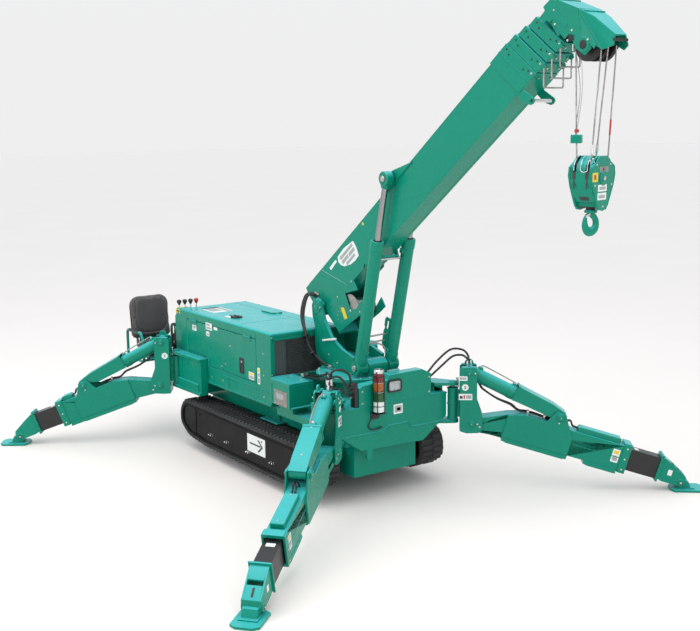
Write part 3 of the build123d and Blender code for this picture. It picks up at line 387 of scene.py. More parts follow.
class Batch:
    """Several small solids of one finish and one body, kept as one piece."""

    def __init__(self, name, mat, body, smooth=32.0):
        self.name, self.mat, self.body, self.smooth = name, mat, body, smooth
        self.bm = bmesh.new()

    def done(self):
        return finish_mesh(self.name, self.bm, self.mat, self.body, self.smooth)

    def _bevel(self, faces, width, seg):
        if width:
            edges = {e for f in faces for e in f.edges if e.is_manifold and e.calc_face_angle(0) > math.radians(28)}
            bmesh.ops.bevel(self.bm, geom=list(edges), offset=width / 1000, segments=seg, profile=0.5, affect="EDGES", clamp_overlap=True)

    def prism(self, pts, fr, lo, hi, bevel=1.5, seg=2):
        bm = self.bm
        a = [bm.verts.new(fr.pt(p[0], p[1], lo)) for p in pts]
        b = [bm.verts.new(fr.pt(p[0], p[1], hi)) for p in pts]
        faces = [bm.faces.new(list(reversed(a))), bm.faces.new(b)]
        n = len(pts)
        for i in range(n):
            faces.append(bm.faces.new((a[i], a[(i + 1) % n], b[(i + 1) % n], b[i])))
        bmesh.ops.recalc_face_normals(bm, faces=faces)
        self._bevel(faces, bevel, seg)
        return self

    def both(self, pts, fr, lo, hi, bevel=1.5, seg=2):
        self.prism(pts, fr, lo, hi, bevel, seg)
        return self.prism(pts, fr, -hi, -lo, bevel, seg)

    def box(self, fr, a0, a1, b0, b1, lo, hi, bevel=1.5, seg=2):
        return self.prism([(a0, b0), (a1, b0), (a1, b1), (a0, b1)], fr, lo, hi, bevel, seg)

    def lathe(self, profile, fr, a, b, n=32, caps=True):
        """profile: (radius, height along the plane's normal) round the point a, b."""
        bm = self.bm
        rings = []
        for r, h in profile:
            if r < 0.01:
                rings.append([bm.verts.new(fr.pt(a, b, h))])
            else:
                rings.append([bm.verts.new(fr.pt(a + r * math.cos(2 * math.pi * i / n), b + r * math.sin(2 * math.pi * i / n), h)) for i in range(n)])
        for p, q in zip(rings, rings[1:]):
            for i in range(n):
                j = (i + 1) % n
                if len(p) == 1 and len(q) == 1:
                    continue
                if len(p) == 1:
                    bm.faces.new((p[0], q[i], q[j]))
                elif len(q) == 1:
                    bm.faces.new((p[i], p[j], q[0]))
                else:
                    bm.faces.new((p[i], p[j], q[j], q[i]))
        if caps:
            for ring in (rings[0], rings[-1]):
                if len(ring) > 1:
                    bm.faces.new(ring)
        return self

    def disc(self, fr, a, b, r, lo, hi, edge=1.5, n=32):
        s = 1 if hi > lo else -1
        e = min(edge, abs(hi - lo) / 2.2, r / 2.5)
        return self.lathe([(r - e, lo), (r, lo + s * e), (r, hi - s * e), (r - e, hi)], fr, a, b, n)

    def hexhead(self, fr, a, b, lo, size=10.0, high=7.0, washer=True, turn=0.3):
        s = 1 if high > 0 else -1
        base = lo
        if washer:
            self.disc(fr, a, b, size * 1.0, lo, lo + s * 1.8, 0.5, 18)
            base = lo + s * 1.8
        bm = self.bm
        prof = [(size * 0.86, base), (size * 0.86, lo + high * 0.82), (size * 0.68, lo + high)]
        rings = [[bm.verts.new(fr.pt(a + r * math.cos(turn + math.pi * i / 3), b + r * math.sin(turn + math.pi * i / 3), h)) for i in range(6)] for r, h in prof]
        for p, q in zip(rings, rings[1:]):
            for i in range(6):
                bm.faces.new((p[i], p[(i + 1) % 6], q[(i + 1) % 6], q[i]))
        bm.faces.new(rings[0])
        bm.faces.new(rings[-1])
        return self

    def pipe(self, pts, r, n=12, corner=None, steps=6, closed=False, smooth_path=False, mm=True):
        """A round bar along points in drawing millimetres, with its corners rounded."""
        path = [Vector(p) for p in pts]
        if smooth_path:
            path = catmull(path, 10, closed)
        elif corner:
            path = round_corners(path, corner, steps, closed)
        sweep(self.bm, [M(*p) for p in path], r / 1000, n, closed)
        return self


def round_corners(path, radius, steps=6, closed=False):
    out = []
    n = len(path)
    for i, p in enumerate(path):
        if not closed and i in (0, n - 1):
            out.append(p)
            continue
        a, b = path[i - 1], path[(i + 1) % n]
        u, v = (a - p), (b - p)
        if u.length < 1e-6 or v.length < 1e-6:
            out.append(p)
            continue
        ang = u.angle(v)
        if abs(ang - math.pi) < 0.02:
            out.append(p)
            continue
        t = min(radius / math.tan(ang / 2), u.length * 0.48, v.length * 0.48)
        s, e = p + u.normalized() * t, p + v.normalized() * t
        for k in range(steps + 1):
            f = k / steps
            q = s * (1 - f) ** 2 + p * 2 * f * (1 - f) + e * f ** 2
            out.append(q)
    return out


def catmull(path, steps, closed=False):
    out = []
    n = len(path)
    segs = n if closed else n - 1
    for i in range(segs):
        p0 = path[(i - 1) % n] if closed or i > 0 else path[0] * 2 - path[1]
        p1, p2 = path[i % n], path[(i + 1) % n]
        p3 = path[(i + 2) % n] if closed or i + 2 < n else path[-1] * 2 - path[-2]
        for k in range(steps):
            t = k / steps
            out.append(0.5 * ((2 * p1) + (p2 - p0) * t + (2 * p0 - 5 * p1 + 4 * p2 - p3) * t * t + (3 * p1 - p0 - 3 * p2 + p3) * t ** 3))
    if not closed:
        out.append(path[-1])
    return out


def sweep(bm, path, r, n=12, closed=False, radii=None):
    tans = []
    m = len(path)
    for i in range(m):
        if closed:
            t = path[(i + 1) % m] - path[i - 1]
        else:
            t = path[min(i + 1, m - 1)] - path[max(i - 1, 0)]
        tans.append(t.normalized())
    ref = Vector((0, 0, 1)) if abs(tans[0].z) < 0.9 else Vector((1, 0, 0))
    nrm = (ref - tans[0] * ref.dot(tans[0])).normalized()
    rings = []
    for i in range(m):
        nrm = (nrm - tans[i] * nrm.dot(tans[i])).normalized()
        bi = tans[i].cross(nrm)
        rad = radii[i] if radii else r
        rings.append([bm.verts.new(path[i] + (nrm * math.cos(2 * math.pi * k / n) + bi * math.sin(2 * math.pi * k / n)) * rad) for k in range(n)])
    for i in range(m if closed else m - 1):
        p, q = rings[i], rings[(i + 1) % m]
        for k in range(n):
            j = (k + 1) % n
            bm.faces.new((p[k], p[j], q[j], q[k]))
    if not closed:
        bm.faces.new(rings[0])
        bm.faces.new(rings[-1])


def skin(node, mat, bevel=2.5, angle=34.0, seg=2, name=None):
    """The node's own shape with its sharp edges eased, shown in place of it."""
    src = NODES[node]
    bm = bmesh.new()
    bm.from_mesh(src.data)
    bmesh.ops.remove_doubles(bm, verts=bm.verts, dist=2e-5)
    bmesh.ops.dissolve_limit(bm, angle_limit=math.radians(0.6), verts=bm.verts, edges=bm.edges)
    w = bevel / 1000
    lim = math.radians(angle)
    sharp = {e for e in bm.edges if e.is_manifold and e.calc_face_angle(0) > lim}
    pick = [e for e in sharp if e.calc_length() > 2.6 * w]
    if pick and w:
        bmesh.ops.bevel(bm, geom=pick, offset=w, segments=seg, profile=0.5, affect="EDGES", clamp_overlap=False)
    body = next(b for b, ns in frame["record"]["behaviour"]["bodies"].items() if node in ns)
    ob = finish_mesh(name or node + "_skin", bm, mat, body, 40)
    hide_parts(node)
    return ob


def label(name, fr, a, b, w, h, lift, mat, body, radius=4, thick=0.5, inner=None, turn=0.0):
    """A blank sticker with rounded corners and, where asked, plain printed panels."""
    def ring(x0, x1, y0, y1, r, n=4):
        pts = []
        for cx, cy, st in ((x1 - r, y1 - r, 0), (x0 + r, y1 - r, 90), (x0 + r, y0 + r, 180), (x1 - r, y0 + r, 270)):
            for k in range(n + 1):
                t = math.radians(st + 90 * k / n)
                pts.append((cx + r * math.cos(t), cy + r * math.sin(t)))
        return pts

    def rot(p):
        c, s = math.cos(turn), math.sin(turn)
        dx, dy = p[0] - a, p[1] - b
        return (a + c * dx - s * dy, b + s * dx + c * dy)
    s = 1 if lift >= 0 else -1
    bt = Batch(name, mat, body)
    bt.prism([rot(p) for p in ring(a - w / 2, a + w / 2, b - h / 2, b + h / 2, min(radius, w / 2.01, h / 2.01))], fr, *sorted((lift, lift + s * thick)), bevel=0)
    ob = bt.done()
    for i, (x0, x1, y0, y1, im) in enumerate(inner or ()):
        q = Batch(f"{name}_print{i}", im, body)
        r = min(1.5, (x1 - x0) / 4, (y1 - y0) / 4)
        q.prism([rot(p) for p in ring(a + x0, a + x1, b + y0, b + y1, r)], fr, *sorted((lift + s * thick * 0.6, lift + s * (thick + 0.25))), bevel=0)
        q.done()
    return ob


# ------------------------------------------------------------------ floor
bm = bmesh.new()
bmesh.ops.create_grid(bm, x_segments=8, y_segments=8, size=90)
floor = finish_mesh("floor", bm, "floor", None, 0)
floor.location.z = -0.0005
floor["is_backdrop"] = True

# ------------------------------------------------------------------ plain CAD nodes get their finishes
for node_name, key in {
    "chassis_frame": "green", "engine_block": "iron", "track_frame_left": "cover", "track_frame_right": "cover", "track_left": "rubber", "track_right": "rubber",
    "hoist_ropes": "steel", "winch_drum": "steel", "head_sheaves": "iron", "control_levers": "steel", "hood_grille": "black",
}.items():
    set_materials(NODES[node_name], [MAT[key]])
for n in NODES:
    if n.endswith("_rod") or n == "derrick_rods":
        set_materials(NODES[n], [MAT["green"]])

SKINS = [
    ("chassis_frame", "green", 3.0), ("engine_hood", "green", 4.0), ("hood_door", "green", 2.0), ("tank_cover", "green", 5.0), ("tool_box", "green", 4.0),
    ("nose_cover", "green", 6.0), ("control_console", "green", 5.0), ("slewing_column", "green", 3.0), ("derrick_barrels", "green", 3.0),
    ("derrick_rods", "rod", 1.0), ("boom_base", "green", 3.0), ("boom_section_2", "green", 2.5), ("boom_section_3", "green", 2.5), ("boom_section_4", "green", 2.5),
    ("boom_section_5", "green", 2.5), ("boom_head", "green", 3.0), ("hook_block", "green", 2.0),
]
for n in LEGS:
    o = "outrigger_" + n
    SKINS += [(o + "_post", "green", 3.0), (o + "_arm", "green", 3.0), (o + "_inner_box", "black", 2.5), (o + "_foot", "green", 2.5),
              (o + "_cylinder", "green", 2.5), (o + "_rod", "green", 2.5)]
for node_name, key, width in SKINS:
    skin(node_name, key, width)

# ==== details ====
# ------------------------------------------------------------------ tracks
def fillet_outline(pts, radii, n=9):
    """A closed outline whose corners are rounded to arcs."""
    out, m = [], len(pts)
    for i in range(m):
        p, a, b = Vector((*pts[i], 0)), Vector((*pts[i - 1], 0)), Vector((*pts[(i + 1) % m], 0))
        u, v = (a - p).normalized(), (b - p).normalized()
        ang = u.angle(v)
        t = radii[i] / math.tan(ang / 2)
        s, e = p + u * t, p + v * t
        c = p + (u + v).normalized() * (radii[i] / math.sin(ang / 2))
        a0 = math.atan2(s.y - c.y, s.x - c.x)
        d = (math.atan2(e.y - c.y, e.x - c.x) - a0 + math.pi) % (2 * math.pi) - math.pi
        out += [(c.x + radii[i] * math.cos(a0 + d * k / n), c.y + radii[i] * math.sin(a0 + d * k / n)) for k in range(n + 1)]
    return out


class Loop:
    """A closed outline that can be walked along by length, and set in or out."""

    def __init__(self, pts):
        self.p = [Vector((*q, 0)) for q in pts]
        self.cum = [0.0]
        for i in range(len(self.p)):
            self.cum.append(self.cum[-1] + (self.p[(i + 1) % len(self.p)] - self.p[i]).length)
        self.total = self.cum[-1]

    def at(self, s):
        s %= self.total
        i = max(k for k, c in enumerate(self.cum[:-1]) if c <= s + 1e-9)
        a, b = self.p[i], self.p[(i + 1) % len(self.p)]
        t = (b - a).normalized()
        return a + t * (s - self.cum[i]), t, Vector((t.y, -t.x, 0))

    def inset(self, d):
        out, m = [], len(self.p)
        for i in range(m):
            a, b = (self.p[i] - self.p[i - 1]).normalized(), (self.p[(i + 1) % m] - self.p[i]).normalized()
            t = (a + b).normalized()
            out.append((self.p[i].x - t.y * d, self.p[i].y + t.x * d))
        return out


TRACK = Loop(fillet_outline([(-1010, 460), (-1010, 210), (-860, 112), (-540, 82.5), (870, 82.5), (1060, 100), (1210, 200), (1210, 460)],
                            [165, 110, 150, 150, 150, 150, 110, 165]))


def belt(name, sign, body="machine"):
    bt = Batch(name, "rubber", body, 38)
    bm = bt.bm
    section = [(392, 21), (399, 13), (630, 13), (640, 22), (640, 37), (634, 41.8), (398, 41.8), (392, 37)]
    rings = []
    loops = [TRACK.inset(o) for _, o in section]
    for i in range(len(TRACK.p)):
        rings.append([bm.verts.new(M(loops[k][i][0], sign * section[k][0], loops[k][i][1])) for k in range(len(section))])
    for i in range(len(rings)):
        a, b = rings[i], rings[(i + 1) % len(rings)]
        for k in range(len(section)):
            j = (k + 1) % len(section)
            bm.faces.new((a[k], a[j], b[j], b[k]))
    # two staggered rows of lugs, each with sloping flanks and a cut corner
    count = 88
    step = TRACK.total / count
    for i in range(count):
        for y0, y1, shift, skew in ((401, 506, 0.0, 5), (524, 631, 0.5, -5)):
            s = (i + shift) * step
            for part in (-1,):
                pts = []
                for ds, off in ((-19, 14), (-13, 2.0), (-9, 0.4), (9, 0.4), (13, 2.0), (19, 14)):
                    p, t, n = TRACK.at(s + ds)
                    pts.append(p - n * off)
                va, vb = [], []
                for k, q in enumerate(pts):
                    top = 1 if 0 < k < 5 else 0
                    va.append(bm.verts.new(M(q.x, sign * (y0 + 7 * top), q.y)))
                    vb.append(bm.verts.new(M(q.x, sign * (y1 - 7 * top), q.y)))
                bm.faces.new(va)
                bm.faces.new(list(reversed(vb)))
                for k in range(5):
                    bm.faces.new((va[k], vb[k], vb[k + 1], va[k + 1]))
    # low bars between the rows
    for i in range(count):
        s = (i + 0.25) * step
        va, vb = [], []
        for ds, off in ((-5, 14), (-3, 8), (3, 8), (5, 14)):
            p, t, n = TRACK.at(s + ds)
            q = p - n * off
            va.append(bm.verts.new(M(q.x, sign * 506, q.y)))
            vb.append(bm.verts.new(M(q.x, sign * 524, q.y)))
        for k in range(3):
            bm.faces.new((va[k], vb[k], vb[k + 1], va[k + 1]))
    ob = bt.done()
    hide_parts("track_right" if sign < 0 else "track_left")
    return ob


for nm, sg in (("belt_right", -1), ("belt_left", 1)):
    belt(nm, sg)
    # outer cover pressings: a plate over the middle, one over each end wheel, and a rolled rim
    bt = Batch("track_cover_" + nm[5:], "cover", "machine")
    lo, hi = (621.5, 626) if sg < 0 else (-626, -621.5)
    bt.prism([(-585, 128), (905, 128), (1010, 138), (1010, 395), (-585, 395)], SIDE, lo, hi, 1.5)
    bt.prism([(-935, 225), (-850, 160), (-720, 134), (-720, 392), (-870, 392), (-935, 360)], SIDE, lo, hi, 1.5)
    bt.prism([(1070, 145), (1140, 200), (1150, 260), (1150, 360), (1100, 395), (1070, 395)], SIDE, lo, hi, 1.5)
    rim = TRACK.inset(47)
    for lo2, hi2 in (((622, 634) if sg < 0 else (-634, -622)),):
        n = len(rim)
        rim2 = TRACK.inset(56)
        va = [bt.bm.verts.new(SIDE.pt(*q, lo2)) for q in rim]
        vb = [bt.bm.verts.new(SIDE.pt(*q, hi2)) for q in rim]
        vc = [bt.bm.verts.new(SIDE.pt(*q, hi2)) for q in rim2]
        vd = [bt.bm.verts.new(SIDE.pt(*q, lo2)) for q in rim2]
        for i in range(n):
            j = (i + 1) % n
            for p, q in ((va, vb), (vb, vc), (vc, vd), (vd, va)):
                bt.bm.faces.new((p[i], p[j], q[j], q[i]))
    bt.done()
    # roller bolts in pairs
    bt = Batch("roller_bolts_" + nm[5:], "chrome", "machine")
    for x in (-442, -156, 200, 577):
        for dx in (-17, 17):
            bt.hexhead(SIDE, x + dx, 216, 626 if sg < 0 else -626, 10, 20 if sg < 0 else -20, turn=0.4 + dx)
    bt.done()
    bt = Batch("cover_bolts_" + nm[5:], "iron", "machine")
    for x in (-880, -655, -520, -60, 420, 860, 1120):
        bt.hexhead(SIDE, x, 352, 625 if sg < 0 else -625, 8, 7 if sg < 0 else -7)
    bt.lathe([(1, 625), (44, 625), (44, 632), (20, 636), (0, 636)] if sg < 0 else [(1, -625), (44, -625), (44, -632), (20, -636), (0, -636)], SIDE, 1035, 290, 28, False)
    bt.done()

# sign with an arrow on the right track
label("direction_plate_right", SIDE, 330, 303.5, 284, 147, 626.2, "white", "machine", 6, 1.2)
bt = Batch("direction_arrow_right", "dark_print_and_shade", "machine")
bt.prism([(228, 297), (398, 297), (398, 311), (228, 311)], SIDE, 627.2, 627.9, 0)
bt.prism([(352, 352), (372, 356), (438, 304), (372, 250), (352, 256), (412, 304)], SIDE, 627.2, 627.9, 0)
bt.done()
label("direction_plate_left", SIDE, 330, 303.5, 284, 147, -626.2, "white", "machine", 6, 1.2)
bt = Batch("direction_arrow_left", "dark_print_and_shade", "machine")
bt.prism([(228, 297), (398, 297), (398, 311), (228, 311)], SIDE, -627.9, -627.2, 0)
bt.prism([(352, 352), (372, 356), (438, 304), (372, 250), (352, 256), (412, 304)], SIDE, -627.9, -627.2, 0)
bt.done()

# ------------------------------------------------------------------ engine cover
R = 551.5  # right face of the hood
bt = Batch("hood_trim", "green", "machine")
# folded skirt, roof seams and door hinges
bt.prism([(-236, 756), (232, 756), (462, 756), (462, 764), (-236, 764)], SIDE, R - 1, R + 5, 1.5)
bt.prism([(-236, 664), (-226, 664), (-226, 764), (-236, 764)], SIDE, R - 1, R + 3, 1)
bt.box(SIDE, -1092, 460, 642, 658, R - 1, R + 6, 2)
bt.box(SIDE, 236.5, 240, 790, 1212, R - 0.5, R + 1.6, 0.6)
for x0, x1 in ((-900, -780), (40, 160)):
    bt.box(SIDE, x0, x1, 1171, 1184, R - 1, R + 4, 1.2)
# front frame round the grille
bt.prism([(-530, 866), (98, 866), (98, 877), (-530, 877)], CROSS, 464, 468, 1.2)
bt.prism([(-530, 1181), (98, 1181), (98, 1192), (-530, 1192)], CROSS, 464, 468, 1.2)
bt.prism([(-530, 866), (-519, 866), (-519, 1192), (-530, 1192)], CROSS, 464, 468, 1.2)
bt.prism([(87, 866), (98, 866), (98, 1192), (87, 1192)], CROSS, 464, 468, 1.2)
# raised panel seam across the roof
bt.box(PLAN, -1072, 440, -8.5, -5.5, 1242.5, 1244, 0.5)
bt.box(PLAN, -62, -59, -528, 118, 1242.5, 1244, 0.5)
bt.done()

bt = Batch("hood_bolts", "zinc", "machine")
for x, z in ((-349, 838), (-273, 869), (-332, 714), (-533, 710), (-185, 1039)):
    bt.disc(SIDE, x, z, 9, R if z > 790 and x > -975 else R, R + 3.5, 1.2, 20)
for y, z in ((-538, 1204), (-538, 900), (112, 1204), (112, 900), (-220, 1204)):
    bt.hexhead(CROSS, y, z, 465, 7, 5)
for x in (-1060, -820, -560, -240, 60, 330):
    for y in (-524, 112):
        bt.disc(PLAN, x, y, 8, 1242.5, 1246, 1.2, 16)
for z in (700, 880, 1060):
    bt.disc(SIDE, 350, z, 7, R, R + 3, 1.2, 16)
bt.done()

# flush latch: black escutcheon, sunken well and a paddle
bt = Batch("latch_escutcheon", "plastic", "door")
def rr(x0, x1, z0, z1, r, n=5):
    pts = []
    for cx, cz, st in ((x1 - r, z1 - r, 0), (x0 + r, z1 - r, 90), (x0 + r, z0 + r, 180), (x1 - r, z0 + r, 270)):
        pts += [(cx + r * math.cos(math.radians(st + 90 * k / n)), cz + r * math.sin(math.radians(st + 90 * k / n))) for k in range(n + 1)]
    return pts
def ringplate(bt, outer, inner, fr, lo, hi):
    n = len(outer)
    a, b = [bt.bm.verts.new(fr.pt(*p, lo)) for p in outer], [bt.bm.verts.new(fr.pt(*p, hi)) for p in outer]
    c, d = [bt.bm.verts.new(fr.pt(*p, hi)) for p in inner], [bt.bm.verts.new(fr.pt(*p, lo)) for p in inner]
    for i in range(n):
        j = (i + 1) % n
        for p, q in ((a, b), (b, c), (c, d), (d, a)):
            bt.bm.faces.new((p[i], p[j], q[j], q[i]))
ringplate(bt, rr(-36, 36, 834, 967, 9), rr(-27, 27, 843, 958, 6), SIDE, R - 1, R + 4)
bt.prism(rr(-28, 28, 842, 959, 6), SIDE, R - 0.5, R + 0.6, 0)
bt.prism([(-22, 848), (22, 848), (22, 915), (-22, 915)], SIDE, R + 0.5, R + 3, 1.2)
bt.done()
bt = Batch("latch_lock", "zinc", "door")
bt.disc(SIDE, 0, 936, 10, R + 0.5, R + 5, 1, 24)
bt.disc(SIDE, 0, 936, 4, R + 5, R + 5.8, 0.3, 12)
bt.done()

# blank stickers on the hood
label("hood_sticker_a", SIDE, -560, 1152, 112, 62, R + 0.3, "white", "door", 5, inner=[(-46, 46, -22, -6, "print_grey"), (-46, 20, 4, 22, "print_grey")])
label("hood_sticker_b", SIDE, -440, 1150, 64, 26, R + 0.3, "white", "door", 4)
label("hood_sticker_c", SIDE, -582, 1084, 60, 40, R + 0.3, "white", "door", 4, inner=[(-22, 22, -12, 2, "print_grey")])
label("hood_sticker_d", SIDE, 155, 842, 86, 62, R + 0.3, "white", "door", 4, inner=[(-36, 36, 8, 24, "yellow"), (-36, 36, -24, 0, "print_grey")])
label("hood_sticker_e", SIDE, 273, 862, 40, 136, R + 0.3, "white", "machine", 4, inner=[(-14, 14, 34, 60, "yellow"), (-14, 14, -6, 24, "print_grey"), (-14, 14, -58, -16, "print_grey")])
label("hood_sticker_f", SIDE, -831, 1102, 76, 50, R + 0.3, "white", "door", 4, inner=[(-26, 26, -4, 16, "print_grey"), (-26, 8, -18, -10, "print_grey")])
label("roof_sticker_a", PLAN, -800, -335, 250, 190, 1243.3, "white", "machine", 6, inner=[(-110, 110, 40, 84, "print_grey"), (-110, 60, -74, 20, "print_grey")])
label("roof_sticker_b", PLAN, -925, -338, 42, 170, 1243.3, "dark_print_and_shade", "machine", 4)
label("roof_sticker_c", PLAN, -420, -414, 110, 70, 1243.3, "white", "machine", 12)
bt = Batch("fuel_cap", "plastic", "machine")
bt.lathe([(46, 1243), (46, 1252), (40, 1257), (16, 1258), (0, 1258)], PLAN, -345, -395, 36, False)
for k in range(12):
    t = math.tau * k / 12
    bt.lathe([(5, 1243), (5, 1255), (0, 1256)], PLAN, -345 + 46 * math.cos(t), -395 + 46 * math.sin(t), 8, False)
bt.box(PLAN, -385, -305, -401, -389, 1256, 1264, 2)
bt.done()
bt = Batch("roof_latches", "plastic", "machine")
bt.prism(rr(-475, -435, -400, -376, 11), PLAN, 1243.2, 1248, 1)
bt.done()

# grille: a sheet of hexagonal holes, a plain strip beside it, and the radiator behind
bt = Batch("grille_mesh", "mesh_grey", "machine", 20)
pitch, wall = 15.0, 2.1
rowh = pitch * math.sqrt(3) / 2
cells = 0
z = 886 + pitch / 2
row = 0
bm = bt.bm
while z < 1174:
    y = -396 + (pitch / 2 if row % 2 else 0)
    while y < 74:
        ring = []
        for rad, x in ((pitch / math.sqrt(3), 457.5), (pitch / math.sqrt(3) - wall, 458.5), (pitch / math.sqrt(3) - wall, 455.0)):
            ring.append([bm.verts.new(M(x, y + rad * math.cos(math.radians(30 + 60 * k)), z + rad * math.sin(math.radians(30 + 60 * k)))) for k in range(6)])
        for a, b in zip(ring, ring[1:]):
            for k in range(6):
                bm.faces.new((a[k], a[(k + 1) % 6], b[(k + 1) % 6], b[k]))
        y += pitch
        cells += 1
    z += rowh
    row += 1
bt.box(CROSS, -512, -402, 881, 1177, 455, 459, 1)
bt.box(CROSS, -404, 80, 881, 889, 455, 460, 1)
bt.box(CROSS, -404, 80, 1168, 1177, 455, 460, 1)
bt.box(CROSS, 70, 80, 881, 1177, 455, 460, 1)
ob = bt.done()
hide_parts("hood_grille")
bt = Batch("radiator_core", "iron", "machine", 20)
bt.box(CROSS, -500, 70, 872, 1182, 405, 408, 0)
for k in range(34):
    yy = -494 + k * 17
    bt.box(CROSS, yy, yy + 3, 884, 1172, 408, 424, 0)
bt.done()

# tool box: grey plate, lid lip and catch
bt = Batch("tool_box_trim", "green", "machine")
bt.prism([(498, -558), (529, -602), (812, -602), (812, -368), (498, -368)], PLAN, 872, 882, 1.5)
bt.box(SIDE, 536, 556, 716, 862, 599.5, 604, 1.2)
bt.prism([(812, 700), (830, 700), (830, 706), (812, 712)], SIDE, 380, 590, 1.2)
bt.done()
label("tool_box_plate", SIDE, 684, 766, 184, 122, 600.3, "grey", "machine", 5, 2.2, inner=[(-60, 40, -10, 34, "print_grey")])
bt = Batch("tool_box_bolts", "zinc", "machine")
for x in (600, 768):
    for z in (716, 816):
        bt.disc(SIDE, x, z, 5, 602, 605, 1, 12)
bt.hexhead(PLAN, 700, -420, 900, 8, 6)
bt.hexhead(PLAN, 560, -420, 900, 8, 6)
bt.done()
bt = Batch("step_tread", "green", "machine")
for x in range(165, 415, 22):
    bt.prism([(x, -474), (x + 8, -474), (x + 2, -316), (x - 6, -316)], PLAN, 477.5, 480.5, 0.8)
bt.done()

# ------------------------------------------------------------------ nose
bt = Batch("nose_trim", "green", "machine")
# wrapped seam of the cover, and the welded lip that follows the lower casting
bt.pipe([(1361.5, -330, 786), (1361.5, 370, 786)], 2.2, 8)
lip = [(-520, 572), (-235, 572), (-151, 568), (-105, 575), (-62, 602), (130, 604), (166, 562), (230, 556), (520, 556)]
for (y0, z0), (y1, z1) in zip(lip, lip[1:]):
    bt.pipe([(1361, y0, z0), (1361, y1, z1)], 5.5, 10)
for y, z in lip[1:-1]:
    bt.lathe([(0, 5.5), (4, 4), (5.5, 0), (4, -4), (0, -5.5)], Fr((1361, y, z), X, Y), 0, 0, 10, False)
bt.prism([(1000, 770), (1362, 770), (1362, 779), (1000, 779)], SIDE, 524, 530, 1.2)
bt.prism([(1000, 770), (1362, 770), (1362, 779), (1000, 779)], SIDE, -530, -524, 1.2)
bt.done()
bt = Batch("nose_bolts", "zinc", "machine")
for y, z in ((-300, 905), (-300, 812), (345, 812), (345, 930)):
    bt.hexhead(CROSS, y, z, 1361.5, 7, 5)
bt.done()
label("nose_sticker", CROSS, 40, 720, 88, 76, 1360.4, "white", "machine", 4, inner=[(-34, 34, -26, 26, "print_grey"), (-12, 22, -14, 10, "dark_print_and_shade")])

# headlight: bezel, reflector and ribbed lens
bt = Batch("headlight_bezel", "plastic", "machine")
ringplate(bt, rr(-66, 66, 862, 958, 20), rr(-54, 54, 874, 946, 14), CROSS, 1361, 1377)
bt.done()
ob = Batch("headlight_reflector", "reflector", "machine")
ob.prism(rr(-54, 54, 874, 946, 14), CROSS, 1361.5, 1363.5, 0)
ob.lathe([(30, 1363.6), (26, 1364.5), (12, 1367), (0, 1367.5)], CROSS, -6, 910, 32, False)
ob.done()
bt = Batch("headlight_lens", "glass", "machine", 60)
pts = rr(-53.5, 53.5, 874.5, 945.5, 13)
bt.prism(pts, CROSS, 1370, 1374.5, 1.2)
for k in range(9):
    yy = -44 + 11 * k
    bt.prism([(yy, 880), (yy + 5, 880), (yy + 5, 940), (yy, 940)], CROSS, 1374.3, 1375.6, 0)
ob = bt.done()
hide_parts("headlight")

# lamp tower: chrome cap, red, amber and green lenses, pale base and a wire guard
LX, LY = 1412, -184
bt = Batch("lamp_cap", "chrome", "machine")
bt.lathe([(40, 1044), (41, 1046), (41, 1062), (34, 1070), (14, 1074), (8, 1075), (0, 1075)], PLAN, LX, LY, 40, False)
bt.done()
def lens(name, mat, z0, z1):
    bt = Batch(name, mat, "machine", 60)
    prof = [(38, z0)]
    n = 9
    for k in range(n):
        zz = z0 + (z1 - z0) * (k + 0.5) / n
        prof += [(40.5, zz - 2), (38.8, zz + (z1 - z0) / n / 2 - 0.4)]
    prof += [(38, z1)]
    bt.lathe(prof, PLAN, LX, LY, 40, False)
    return bt.done()
lens("lens_red", "red_lens", 974, 1044)
lens("lens_amber", "amber_lens", 900, 972)
lens("lens_green", "green_lens", 826, 898)
bt = Batch("lamp_rings", "chrome", "machine")
for zz in (973, 899, 825):
    bt.lathe([(38, zz - 1.5), (41.5, zz - 1.2), (41.5, zz + 1.2), (38, zz + 1.5)], PLAN, LX, LY, 40, False)
bt.done()
bt = Batch("lamp_base", "white", "machine")
bt.lathe([(39, 745), (41, 747), (41, 822), (39, 825)], PLAN, LX, LY, 40)
bt.done()
bt = Batch("lamp_guard", "black", "machine")
for a in range(4):
    t = math.radians(45 + 90 * a)
    cx, cy = LX + 40 * math.cos(t), LY + 46 * math.sin(t)
    bt.pipe([(cx, cy, 733), (cx, cy, 1020)], 3.2, 8)
for zz in (790, 905, 1018):
    bt.pipe([(LX + 46 * math.cos(math.tau * k / 20) * 0.88, LY + 48 * math.sin(math.tau * k / 20), zz) for k in range(20)], 3.0, 8, closed=True)
bt.box(PLAN, 1360, 1452, -228, -140, 728, 735, 2)
bt.box(CROSS, -226, -142, 676, 735, 1360, 1366, 1.5)
ob = bt.done()
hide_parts("lamp_tower")
bt = Batch("lamp_cable", "hose", "machine")
bt.pipe([(1366, -250, 640), (1372, -235, 606), (1372, -180, 598), (1370, -120, 604)], 5, 10, smooth_path=True)
bt.pipe([(1400, -214, 735), (1386, -236, 690), (1368, -250, 640)], 4, 10, smooth_path=True)
bt.done()

